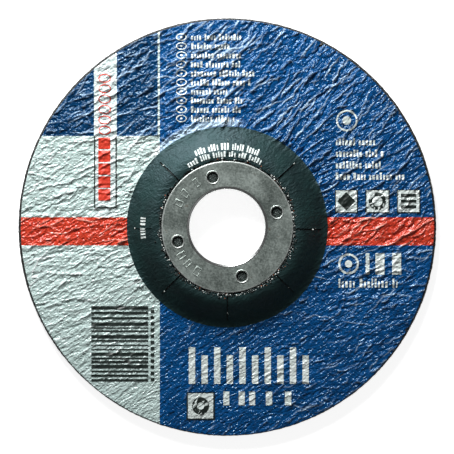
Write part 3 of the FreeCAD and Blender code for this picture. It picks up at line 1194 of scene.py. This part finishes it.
class Stencil:
    """Shapes of one ink, drawn flat in one mesh and then laid on the label."""

    cell: float = 0.2

    def __init__(self, name: str) -> None:
        """Starts an empty stencil with the name of its piece."""
        self.piece = empty_piece(name)

    def bar(self, x: Pair, y: Pair) -> None:
        """Draws an upright rectangle between two places on X and on Y."""
        self.block(((x[0] + x[1]) / 2, (y[0] + y[1]) / 2), abs(x[1] - x[0]), abs(y[1] - y[0]))

    def block(self, middle: Pair, width: float, height: float, turn: float = 0.0) -> None:
        """Draws a rectangle.

        Args:
            middle: Its middle on the label.
            width: Its width before it is turned.
            height: Its height before it is turned.
            turn: Its turn in degrees.
        """
        place = place_for_shape(*middle)
        bpy.ops.mesh.primitive_grid_add(x_subdivisions=max(1, round(width / self.cell)),
                                        y_subdivisions=max(1, round(height / self.cell)),
                                        size=MM, location=place)
        fit((width, height, 1), place, turn)

    def ring(self, middle: Pair, radii: Pair, line: float, corners: int = 28) -> None:
        """Draws an oval outline.

        Args:
            middle: Its middle on the label.
            radii: Its outer radii along X and Y.
            line: Width of the outline.
            corners: Points round it.
        """
        place = place_for_shape(*middle)
        bpy.ops.mesh.primitive_circle_add(vertices=corners, radius=MM, location=place)
        fit((*radii, 1), place)
        bpy.ops.mesh.extrude_edges_move()
        fit((1 - line / radii[0], 1 - line / radii[1], 1), place)

    def spot(self, middle: Pair, radii: Pair, corners: int = 12) -> None:
        """Draws a filled oval with a point in its middle.

        Args:
            middle: Its middle on the label.
            radii: Its radii along X and Y.
            corners: Points round it.
        """
        place = place_for_shape(*middle)
        bpy.ops.mesh.primitive_circle_add(vertices=corners, radius=MM, fill_type="TRIFAN",
                                          location=place)
        fit((*radii, 1), place)

    def row(self, x: Pair, y: Pair, seed: int, widths: Pair = (0.38, 0.68),
            gap: float = 0.36) -> None:
        """Draws a row of plain upright strokes.

        Args:
            x: Start and end of the row.
            y: Foot and top of the row.
            seed: Seed of the strokes.
            widths: Least and greatest width of a stroke.
            gap: Space between strokes.
        """
        place = x[0]
        for width, share, step in strokes(seed, (4, 9), widths, gap, 0.3, (0.66, 0.78)):
            if place >= x[1] - widths[0]:
                break
            self.bar((place, min(place + width, x[1])), (y[0], y[0] + (y[1] - y[0]) * share))
            place += step

    def arc_row(self, radius: float, angles: Pair, height: float, seed: int) -> None:
        """Draws a row of plain strokes along an arc about the axis.

        Args:
            radius: Radius of the strokes' middles.
            angles: Start and end of the arc in degrees, read from left to right.
            height: Height of the tallest strokes.
            seed: Seed of the strokes.
        """
        angle, sign = angles[0], math.copysign(1, angles[1] - angles[0])
        for width, share, step in strokes(seed, (3, 6), (0.38, 0.62), 0.32, 0.55, (0.72, 0.85)):
            if sign * (angles[1] - angle) <= 0:
                break
            turn, tall = math.radians(angle), height * share
            inner = radius - (height - tall) / 2
            self.block((inner * math.cos(turn), inner * math.sin(turn)), width, tall, angle - 90)
            angle += sign * math.degrees(step / radius)

    def lay(self, surface: LabelSurface, lift: float) -> bpy.types.Object:
        """Lays the drawn shapes on the label.

        Args:
            surface: Surface of the label.
            lift: Height of the ink over it.

        Returns:
            The finished piece.
        """
        close_piece()
        piece = self.piece
        turn_faces(piece)
        points = points_of(piece)
        points[:, 2] = surface.height(points[:, 0], points[:, 1]) + lift
        set_points(piece, points)
        # share of lighter ink, at most 1: rubbed ink and painted highlight
        wear_and_highlight = piece.data.attributes.new("wear_and_highlight", "FLOAT", "POINT")
        wear_and_highlight.data.foreach_set("value", np.minimum(surface.wear_and_highlight(points[:, 0], points[:, 1]), 1))
        shade(piece)
        return piece


@dataclass
class LabelPrint:
    """Plain shapes in the places of the label's small print, marks and numbers."""

    surface: LabelSurface

    def build(self) -> None:
        """Draws the four stencils and dresses them."""
        for draw, slot, lift, ink in (
                (self.shadow_shapes, "navy_print", 0.07,
                 PrintInk("shadow_ink", "#081a22", "#0e262e")),
                (self.pale_shapes, "label_paper", 0.1,
                 VarnishedPrint("varnished_white_ink", "#dbe4e2", "#c9d5d2", "#f0f4f3", 0.4,
                                bump=0.10)),
                (self.red_shapes, "red_print", 0.08, PrintInk("red_ink", "#d8412c", "#c2311f")),
                (self.dark_shapes, "navy_print", 0.13,
                 PrintInk("black_ink", "#111c19", "#1e2b27"))):
            piece = draw().lay(self.surface, lift)
            piece.data.materials.append(ink.material())
            hand_over(piece, slot)

    def shadow_shapes(self) -> Stencil:
        """Dark edges under the pale squares.

        Returns:
            The stencil.
        """
        stencil = Stencil("print_shadows")
        for x, y in (((32.15, 39.0), (4.1, 11.1)), ((41.2, 48.5), (4.1, 11.2)),
                     ((50.6, 57.65), (4.1, 11.2)), ((-12.2, -3.7), (-57.65, -49.3))):
            stencil.bar(x, y)
        return stencil

    def pale_shapes(self) -> Stencil:
        """White shapes on the blue field and on the hub.

        Returns:
            The stencil.
        """
        stencil = Stencil("print_pale")
        ends = (4.4, 1.4, 4.0, 4.1, 8.7, 6.8, 0.5, 4.4, 4.4, 2.3)
        for index, end in enumerate(ends):
            middle = 56.7 - 2.70 * index
            stencil.ring((-13.7, middle), (1.6, 1.1), 0.27)
            stencil.spot((-13.7, middle), (0.36, 0.3))
            stencil.row((-10.8, end), (middle - 0.95, middle + 0.95), 11 + index)
        mark = (35.65, 31.8)
        stencil.ring(mark, (3.2, 3.2), 0.5)
        stencil.spot(mark, (1.3, 1.3))
        ends = ((44.1, 26.5), (46.8, 23.05), (45.9, 19.6), (53.0, 16.2))
        for index, (end, top) in enumerate(ends):
            stencil.row((32.4, end), (top - 2.1, top), 31 + index, (0.45, 0.8), 0.38)
        for x in ((32.4, 38.65), (41.55, 48.1), (50.9, 57.3)):
            stencil.bar(x, (4.5, 10.9))
        stencil.ring((36.2, -11.0), (3.1, 3.1), 0.62, 40)
        stencil.spot((36.2, -11.0), (1.1, 1.1))
        for x in ((41.3, 42.4), (44.2, 46.9), (49.2, 51.9)):
            stencil.bar(x, (-14.2, -7.8))
        stencil.row((33.2, 51.5), (-18.1, -15.4), 51, (0.42, 0.78), 0.5)
        self.large_row(stencil)
        stencil.bar((-11.75, -4.2), (-57.15, -49.65))
        for x in ((-1.2, 0.6), (3.4, 5.2), (6.5, 8.3), (11.5, 13.4), (17.2, 19.1)):
            stencil.bar(x, (-53.2, -49.1))
        stencil.arc_row(24.0, (113.0, 67.0), 2.0, 61)
        stencil.arc_row(21.75, (122.0, 60.0), 1.7, 62)
        stencil.arc_row(25.2, (187.0, 172.5), 1.5, 63)
        return stencil

    @staticmethod
    def large_row(stencil: Stencil) -> None:
        """Plain white bars of two heights, in turn, in the lower half of the label.

        Args:
            stencil: Stencil to draw them in.
        """
        for index in range(10):
            low = -11.5 + 3.77 * index
            stencil.bar((low, low + 1.9), (-46.8, -38.3 if index % 2 else -35.9))

    @staticmethod
    def red_shapes() -> Stencil:
        """Red blocks and outlined ovals on the strip.

        Returns:
            The stencil.
        """
        stencil = Stencil("print_red")
        for index in range(5):
            low = 7.9 + 3.85 * index
            stencil.bar((-38.5, -34.9), (low, low + 3.4))
        for index in range(6):
            stencil.ring((-36.6, 28.9 + 3.1 * index), (1.9, 1.35), 0.3)
        return stencil

    @staticmethod
    def dark_shapes() -> Stencil:
        """Black outline round the strip's lower part, stripes and shapes in the squares.

        Returns:
            The stencil.
        """
        stencil = Stencil("print_dark")
        for x in ((-39.8, -39.42), (-33.38, -33.0)):
            stencil.bar(x, (5.6, 27.1))
        stencil.bar((-39.42, -33.38), (5.6, 5.98))
        rng = np.random.default_rng(7)
        top, low = -23.6, -46.4
        while top > low:
            thick = rng.choice((0.32, 0.45, 0.62, 0.95))
            stencil.bar((-40.6, -23.6), (top - thick, top))
            top -= thick + rng.choice((0.55, 0.75, 0.95))
        for index in range(12):
            stencil.bar((-22.9, -21.8), (-25.6 - 1.85 * index, -24.7 - 1.85 * index))
        stencil.block((35.5, 7.7), 3.9, 3.9, 45)
        stencil.ring((44.8, 7.7), (2.6, 2.6), 1.1)
        for low in (5.6, 7.3, 9.0):
            stencil.bar((51.8, 56.4), (low, low + 0.9))
        stencil.ring((-8.0, -53.4), (2.6, 2.6), 1.5)
        return stencil


# ---------------------------------------------------------------- the moulding and its net


@dataclass
class Moulding:
    """Body of the wheel: bonded grit from rim to bore, rough at the rim and the working face."""

    bell: Bell = field(default_factory=Bell)
    rim: float = 62.5
    bore: float = 11.715
    ground: float = 0.28
    seat: float = 0.4
    grain: float = 0.8
    lump_size: float = 2.2
    rim_from: float = 61.7
    rim_depths: Pair = (0.17, 0.06)
    edge_from: float = 2.2
    edge_depth: float = 0.12
    face: Pair = (21.5, 61.0)
    face_depths: Pair = (0.11, 0.05)
    face_below: float = 1.5
    top: float = 2.4
    columns: int = 576
    row_width: float = 0.7

    def build(self) -> None:
        """Builds and dresses the moulding."""
        piece = turned("moulding", self.profile(), self.columns)
        self.roughen(piece)
        shade(piece)
        piece.data.materials.append(BondedGrit("bonded_grit").material())
        hand_over(piece, "abrasive", "abrasive_body")

    def profile(self) -> list[Pair]:
        """Closed section from the rim's foot up, over the back, down the bore and out again.

        Returns:
            Points of radius and height.
        """
        wall = [(self.rim - 0.45, 0.0), (self.rim - 0.1, 0.12), (self.rim, 0.5), (self.rim, 0.95),
                (self.rim, 1.4), (self.rim, 1.85), (self.rim - 0.02, 2.3), (self.rim - 0.12, 2.6),
                (self.rim - 0.4, 2.78), (self.rim - 0.9, 2.74)]
        back = [(radius, float(self.bell.height(np.array(radius), self.top)))
                for radius in (60.0, 45.0, 31.0, 30.0, 29.4, 28.8, 26.0, 24.4, 23.2, 22.0, 21.0,
                               19.7)]
        hub = [(self.bore, 7.34), (self.bore, 6.2), (self.bore, 5.0)]
        start, end = 12.3, 60.9
        count = int((end - start) / self.row_width)
        face = [(float(radius), float(self.bell.height(np.array(radius), self.offset(radius))))
                for radius in np.linspace(start, end, count)]
        lip = [(61.25, 0.14), (61.5, 0.0)]
        return [*wall, *back, *hub, *face, *lip, (self.rim - 0.45, 0.0)]

    def offset(self, radius: float) -> float:
        """Offset of the working face, which is level with the nut's seat at the hub."""
        share = float(eased(np.array(radius), 20.5, 22.5))
        return self.seat + (self.ground - self.seat) * share

    def roughen(self, piece: bpy.types.Object) -> None:
        """Presses grains and pits of 24 grit into the rim and the working face.

        Args:
            piece: The moulding.
        """
        points = points_of(piece)
        for index, (x, y, z) in enumerate(points):
            radius = math.hypot(x, y)
            place = Vector((x, y, z))
            near, second = noise.voronoi(place / self.grain)[0][:2]
            lump = min(1.0, (second - near) * 1.6)
            soft = noise.noise(place / self.lump_size)
            if radius > self.rim_from:
                pull = self.rim_depths[0] * (1 - lump) + self.rim_depths[1] * max(0.0, soft)
                points[index, 0] -= x / radius * pull
                points[index, 1] -= y / radius * pull
                if z > self.edge_from:
                    points[index, 2] -= self.edge_depth * (1 - lump)
            elif self.face[0] < radius < self.face[1] and self.is_under(radius, z):
                points[index, 2] += (self.face_depths[0] * (0.5 - lump)
                                     + self.face_depths[1] * soft)
        set_points(piece, points)

    def is_under(self, radius: float, height: float) -> bool:
        """Whether a point belongs to the working face and not to the back."""
        return height < float(self.bell.height(np.array(radius), self.face_below))


@dataclass
class WovenNet:
    """Glass-fibre net bonded to the working face, its yarns over and under one another."""

    bell: Bell = field(default_factory=Bell)
    pitch: float = 6.0
    width: float = 1.6
    outer: float = 61.3
    inner: float = 21.8
    depth: float = 0.19
    wave: float = 0.08
    crown: float = 0.09
    edge_lift: float = 0.06
    drift: Pair = (0.22, 0.1)
    cell: float = 0.9
    across: int = 5

    def build(self) -> None:
        """Builds and dresses the two directions of yarn."""
        for name, along_x in (("net_weft", True), ("net_warp", False)):
            piece = self.yarns(name, along_x)
            yarn = ResinSoakedYarn(f"glass_yarn_{name[4:]}", along_x)
            piece.data.materials.append(yarn.material())
            hand_over(piece, "glass_net", *(["working_face_net"] if along_x else []))

    def yarns(self, name: str, along_x: bool) -> bpy.types.Object:
        """Yarns of one direction.

        Args:
            name: Name of the piece.
            along_x: Whether they run along X.

        Returns:
            The piece, its faces down.
        """
        piece = empty_piece(name)
        reach = int(self.outer // self.pitch)
        for number in range(-reach, reach + 1):
            side = number * self.pitch
            far = math.sqrt(self.outer ** 2 - side ** 2)
            near = math.sqrt(max(0.0, self.inner ** 2 - side ** 2))
            for first, last in (((-far, -near), (near, far)) if near else ((-far, far),)):
                self.lay_strip(side, first, last, along_x)
        close_piece()
        self.weave(piece, along_x)
        turn_faces(piece, up=False)
        shade(piece)
        return piece

    def lay_strip(self, side: float, first: float, last: float, along_x: bool) -> None:
        """Adds one flat strip to the open mesh.

        Args:
            side: Distance of the strip's middle line from the axis.
            first: Its start.
            last: Its end.
            along_x: Whether it runs along X.
        """
        length, middle = last - first, (first + last) / 2
        cells, sizes = (max(2, round(length / self.cell)), self.across), (length, self.width)
        order = 1 if along_x else -1
        place = place_for_shape(*(middle, side)[::order])
        bpy.ops.mesh.primitive_grid_add(x_subdivisions=cells[::order][0],
                                        y_subdivisions=cells[::order][1], size=MM, location=place)
        fit((*sizes[::order], 1), place)

    def weave(self, piece: bpy.types.Object, along_x: bool) -> None:
        """Crowns the strips, takes them over and under and lays them on the bell.

        Args:
            piece: Yarns of one direction, flat.
            along_x: Whether they run along X.
        """
        points = points_of(piece)
        along, side = (points[:, 0], points[:, 1]) if along_x else (points[:, 1], points[:, 0])
        number = np.round(side / self.pitch)
        across = (side - number * self.pitch) / (self.width / 2)
        beat = np.cos(math.pi * (along / self.pitch + number))
        level = self.depth + self.wave * beat * (1 if along_x else -1)
        level = level - self.crown * np.sqrt(np.clip(1 - across ** 2, 0, 1)) + self.edge_lift
        points[:, 1 if along_x else 0] += (
            self.drift[0] * np.sin(along * 0.11 + number * 2.3)
            + self.drift[1] * np.sin(along * 0.37 + number))
        radius = np.hypot(points[:, 0], points[:, 1])
        points[:, 2] = np.maximum(self.bell.height(radius, level), 0.0)
        set_points(piece, points)


# ---------------------------------------------------------------- the bore ring


@dataclass
class BoreRing:
    """Steel ring pressed over the hub, with its dimples, their dark filling and pressed marks."""

    bore: float = 11.115
    outer: float = 19.6
    top: float = 7.85
    sheet: float = 0.5
    lead_in: float = 0.95
    edge_round: float = 0.28
    collar_end: float = 5.0
    dimple_place: float = 15.35
    dimple_angles: tuple[float, ...] = (16.5, 106.5, 196.5, 286.5)
    dimple_radius: float = 1.62
    cup_wall: float = 0.3
    lip_radius: float = 1.98
    polished_radius: float = 12.03
    highlight_rim: float = 0.42
    marks: tuple[Pair, ...] = ((125, 1.4), (142, 2.0), (154, 2.0), (212, 2.0), (223, 1.7),
                               (236, 2.2))
    mark_place: float = 16.0
    mark_height: float = 2.9
    mark_line: float = 0.5
    mark_rise: float = 0.12
    steps: int = 300

    def build(self) -> None:
        """Builds the ring, its dimples and the filling in them."""
        ring = turned("bore_ring_pressed", self.section(), self.steps)
        self.pierce(ring)
        cups = [make(angle) for angle in self.dimple_angles for make in (self.cup, self.burr)]
        ring = join_pieces([ring, *cups, self.pressed_marks()])
        shade(ring, 35)
        self.dress(ring)
        hand_over(ring, "ring_steel", "bore_ring")
        plugs = join_pieces([self.filling(angle) for angle in self.dimple_angles])
        plugs.name = plugs.data.name = "dimple_filling"
        shade(plugs)
        resin = BondedGrit("dimple_resin", "#15211f", "#2b3b38", "#43554f", 0.35)
        plugs.data.materials.append(resin.material())
        hand_over(plugs, "abrasive")

    def arc(self, middle: Pair, radius: float, start: float, end: float, count: int) -> list[Pair]:
        """Points along an arc of the section.

        Args:
            middle: Centre of the arc.
            radius: Its radius.
            start: Its first angle in degrees.
            end: Its last angle in degrees.
            count: Number of points.

        Returns:
            The points, both ends included.
        """
        return [(middle[0] + radius * math.cos(math.radians(angle)),
                 middle[1] + radius * math.sin(math.radians(angle)))
                for angle in np.linspace(start, end, count)]

    def section(self) -> list[Pair]:
        """Closed section: collar, lead-in, flange with a rounded edge, and back underneath.

        Returns:
            Points of radius and height.
        """
        bend = (self.bore + self.lead_in, self.top - self.lead_in)
        under = self.top - self.sheet
        points = [(self.bore, self.collar_end), (self.bore, 6.0)]
        points += self.arc(bend, self.lead_in, 180, 90, 12)
        points += [(radius, self.top) for radius in (*np.linspace(12.6, 18.6, 9), 19.18)]
        points += self.arc((self.outer - self.edge_round, self.top - self.edge_round),
                           self.edge_round, 90, 0, 6)
        points += [(self.outer, under), (bend[0], under)]
        points += self.arc(bend, self.lead_in - self.sheet, 90, 180, 5)
        points += [(self.bore + self.sheet, self.collar_end), (self.bore, self.collar_end)]
        return [(float(radius), float(height)) for radius, height in points]

    def middle(self, angle: float) -> tuple[float, float]:
        """Place of a dimple on the ring, in millimetres."""
        turn = math.radians(angle)
        return self.dimple_place * math.cos(turn), self.dimple_place * math.sin(turn)

    def moved(self, piece: bpy.types.Object, angle: float) -> bpy.types.Object:
        """Moves a piece that was turned about the axis to a dimple's place.

        Args:
            piece: Piece at the axis.
            angle: Angle of the dimple.

        Returns:
            The same piece.
        """
        x, y = self.middle(angle)
        points = points_of(piece)
        points[:, 0] += x
        points[:, 1] += y
        set_points(piece, points)
        return piece

    def pierce(self, ring: bpy.types.Object) -> None:
        """Cuts the flared holes of the dimples through the flange.

        Args:
            ring: The turned ring.
        """
        for angle in self.dimple_angles:
            cutter = self.moved(turned("dimple_cutter", [
                (0.0, 7.0), (self.dimple_radius, 7.0), (self.dimple_radius, 7.62),
                (self.dimple_radius + 0.04, 7.68), (self.lip_radius + 0.04, 7.86),
                (self.lip_radius + 0.04, 8.2), (0.0, 8.2)], 40), angle)
            apply_modifier(ring, "BOOLEAN", operation="DIFFERENCE", object=cutter, solver="EXACT")
            bpy.data.objects.remove(cutter)

    def cup(self, angle: float) -> bpy.types.Object:
        """Cup of sheet below a hole.

        Args:
            angle: Angle of the dimple.

        Returns:
            The cup.
        """
        inside, outside = self.dimple_radius, self.dimple_radius + self.cup_wall
        profile = [(0.0, 7.1), (inside - 0.12, 7.1), (inside, 7.3), (inside, 7.55),
                   (outside, 7.5), (outside, 6.9), (inside, 6.76), (0.0, 6.76)]
        return self.moved(turned("cup", profile, 32), angle)

    def burr(self, angle: float) -> bpy.types.Object:
        """Rounded burr that the punch raised round a hole."""
        profile = self.arc((self.lip_radius - 0.06, self.top - 0.06), 0.22, 200, -20, 9)
        return self.moved(turned("burr", profile[::-1], 40), angle)

    def filling(self, angle: float) -> bpy.types.Object:
        """Dark domed filling in a cup.

        Args:
            angle: Angle of the dimple.

        Returns:
            The filling.
        """
        profile = [(0.0, 7.44), (0.5, 7.43), (0.9, 7.39), (1.15, 7.32), (1.3, 7.2), (1.32, 7.1)]
        piece = self.moved(turned("filling", profile, 28), angle)
        turn_faces(piece)
        return piece

    def pressed_marks(self) -> bpy.types.Object:
        """Plain raised outlines pressed into the flange on the left.

        Returns:
            The outlines as one piece.
        """
        piece = empty_piece("pressed_marks")
        bpy.ops.mesh.select_mode(type="FACE")
        for angle, width in self.marks:
            self.mark(math.radians(angle), width)
        close_piece()
        turn_faces(piece)
        return piece

    def mark(self, turn: float, width: float) -> None:
        """Adds one raised outline with sloping sides to the open mesh.

        Args:
            turn: Its place round the ring in radians.
            width: Its width along the ring.
        """
        place = place_for_shape(self.mark_place * math.cos(turn),
                                self.mark_place * math.sin(turn), self.top - 0.02)
        bpy.ops.mesh.primitive_plane_add(size=MM, location=place)
        fit((width, self.mark_height, 1), place, math.degrees(turn) - 90)
        for share, rise in ((0.4, self.mark_rise), (0.2, 0.0), (0.4, -self.mark_rise)):
            bpy.ops.mesh.inset(thickness=self.mark_line * share * MM, depth=rise * MM)
        bpy.ops.mesh.delete(type="FACE")

    def dress(self, ring: bpy.types.Object) -> None:
        """Gives the ring its steel, brighter where the punch polished the lead-in, with a lighter
        steel on the rounded outer edge and round the dimples as a painted highlight.

        Args:
            ring: The finished ring.
        """
        steels = (PressedSteel("pressed_sheet_steel", "#c7d3cd", "#8e9b95", (0.40, 0.52), 0.6),
                  PressedSteel("polished_lead_in", "#f4f6f5", "#e2e6e4", (0.16, 0.24), pits=0.0),
                  # lighter steel: a painted highlight on the rounded outer edge and round the
                  # dimples
                  PressedSteel("painted_highlight_edge", "#c8cecb", "#b8bfbb", (0.50, 0.60), pits=0.0))
        for steel in steels:
            ring.data.materials.append(steel.material())
        middles = face_middles(ring)
        radius = np.hypot(middles[:, 0], middles[:, 1])
        # rounded outer edge: the lighter steel as a painted highlight line all round
        lightened = radius > self.outer - self.highlight_rim
        finish = np.where(radius < self.polished_radius, 1, np.where(lightened, 2, 0))
        for angle in self.dimple_angles:
            x, y = self.middle(angle)
            away = np.hypot(middles[:, 0] - x, middles[:, 1] - y)
            lip = (away > self.dimple_radius - 0.02) & (away < self.lip_radius + 0.07)
            # dimple lips: the lighter steel as a painted highlight ring
            finish[lip & (middles[:, 2] > 7.5)] = 2
        ring.data.polygons.foreach_set("material_index", finish.astype(np.int32))


# ---------------------------------------------------------------- crumbs


@dataclass
class Crumbs:
    """Grains, paper fibres and rust that lie in the gap round the ring and along the slits."""

    surface: LabelSurface
    gap: float = 19.75
    spread: float = 0.55
    crowded_arc: Pair = (150, 410)
    slit_ends: Pair = (25.4, 27.6)
    seed: int = 3

    def build(self) -> None:
        """Scatters and dresses the three kinds of crumb."""
        rng = np.random.default_rng(self.seed)
        for name, count, size, ink, slot in (
                ("crumbs_grit", 520, (0.13, 0.34),
                 PrintInk("loose_grit", "#0b1413", "#222c2a", 0.6), "abrasive"),
                ("crumbs_paper", 170, (0.12, 0.28),
                 PrintInk("paper_fibres", "#e4e9e6", "#b9c2bd", 0.7), "label_paper"),
                ("crumbs_rust", 30, (0.12, 0.24),
                 PrintInk("rust_specks", "#b4592a", "#8a4526", 0.8), "abrasive")):
            piece = self.scatter(rng, name, count, size)
            piece.data.materials.append(ink.material())
            hand_over(piece, slot)

    def scatter(self, rng: np.random.Generator, name: str, count: int,
                size: Pair) -> bpy.types.Object:
        """Lays crumbs of one kind round the ring.

        Args:
            rng: Seeded source of their places and sizes.
            name: Name of the piece.
            count: Number of crumbs.
            size: Least and greatest radius.

        Returns:
            The piece.
        """
        piece = empty_piece(name)
        for index in range(count):
            arc = self.crowded_arc if index % 4 else (0, 360)
            turn = math.radians(rng.uniform(*arc))
            radius = self.gap + abs(rng.normal(0, self.spread))
            if name == "crumbs_paper" and index % 12 == 0:
                slit = SLITS[index // 12 % len(SLITS)]
                turn = math.radians(slit.angle + rng.normal(0, 0.3))
                radius = rng.uniform(*self.slit_ends)
            self.crumb(rng, radius, turn, rng.uniform(*size))
        close_piece()
        return piece

    def crumb(self, rng: np.random.Generator, radius: float, turn: float, size: float) -> None:
        """Adds one crumb to the open mesh.

        Args:
            rng: Seeded source of its shape.
            radius: Its distance from the axis.
            turn: Its angle round the axis in radians.
            size: Its radius.
        """
        x, y = radius * math.cos(turn), radius * math.sin(turn)
        height = float(self.surface.height(np.array([x]), np.array([y]))[0])
        place = place_for_shape(x, y, height - 0.03)
        bpy.ops.mesh.primitive_ico_sphere_add(subdivisions=1, radius=size * MM, location=place)
        fit(tuple(rng.uniform(0.6, 1.3, 3)), place, rng.uniform(0, 180))


# ---------------------------------------------------------------- the studio


@dataclass
class Studio:
    """White floor, soft lamps and the camera straight above the wheel."""

    floor_size: float = 3.0
    camera_height: float = 1.2
    view_width: float = 135.52
    label_height: float = 3.0
    centre: Pair = (-0.09, 0.0)
    sky: float = 0.075

    def build(self) -> None:
        """Builds the floor, the lamps, the world and the camera."""
        bpy.ops.object.select_all(action="DESELECT")
        bpy.ops.mesh.primitive_plane_add(size=self.floor_size)
        floor = bpy.context.object
        floor.name = floor.data.name = "studio_floor"
        floor.data.materials.append(StudioFloor().material())
        self.lamp("key_lamp", (-0.101, 0.301, 0.169), 0.14, 2.65)
        self.lamp("fill_lamp", (0.5, -0.25, 0.6), 0.6, 0.2)
        self.world()
        self.camera()
        scene = bpy.context.scene
        scene.view_settings.view_transform = "Standard"

    @staticmethod
    def lamp(name: str, place: tuple[float, float, float], size: float, power: float) -> None:
        """Adds a square soft lamp that looks at the wheel.

        Args:
            name: Name of the lamp.
            place: Its place in metres.
            size: Its width in metres.
            power: Its power in watts.
        """
        bpy.ops.object.light_add(type="AREA", location=place)
        lamp = bpy.context.object
        lamp.name = lamp.data.name = name
        lamp.data.shape = "SQUARE"
        lamp.data.size = size
        lamp.data.energy = power
        lamp.rotation_euler = (-Vector(place)).to_track_quat("-Z", "Y").to_euler()

    def world(self) -> None:
        """Even pale surroundings."""
        world = bpy.data.worlds.new("studio")
        world.use_nodes = True
        world.node_tree.nodes.clear()
        light = add_node(world.node_tree, "ShaderNodeBackground",
                         {"Color": (1, 1, 1, 1), "Strength": self.sky}).outputs[0]
        add_node(world.node_tree, "ShaderNodeOutputWorld", {"Surface": light})
        bpy.context.scene.world = world

    def camera(self) -> None:
        """Long lens straight down on the label, its top up."""
        place = (self.centre[0] * MM, self.centre[1] * MM, self.camera_height)
        bpy.ops.object.camera_add(location=place, rotation=(0, 0, 0))
        camera = bpy.context.object
        camera.name = camera.data.name = "camera"
        distance = self.camera_height / MM - self.label_height
        camera.data.lens = camera.data.sensor_width * distance / self.view_width
        camera.data.clip_end = 10.0
        bpy.context.scene.camera = camera


def main() -> None:
    """Builds every sub-assembly in order."""
    logging.basicConfig(level=logging.INFO, format="%(message)s")
    surface = LabelSurface(CreasedPaper())
    Moulding().build()
    WovenNet().build()
    Label(surface).build()
    LabelPrint(surface).build()
    BoreRing().build()
    Crumbs(surface).build()
    Studio().build()


if __name__ == "__main__":
    main()
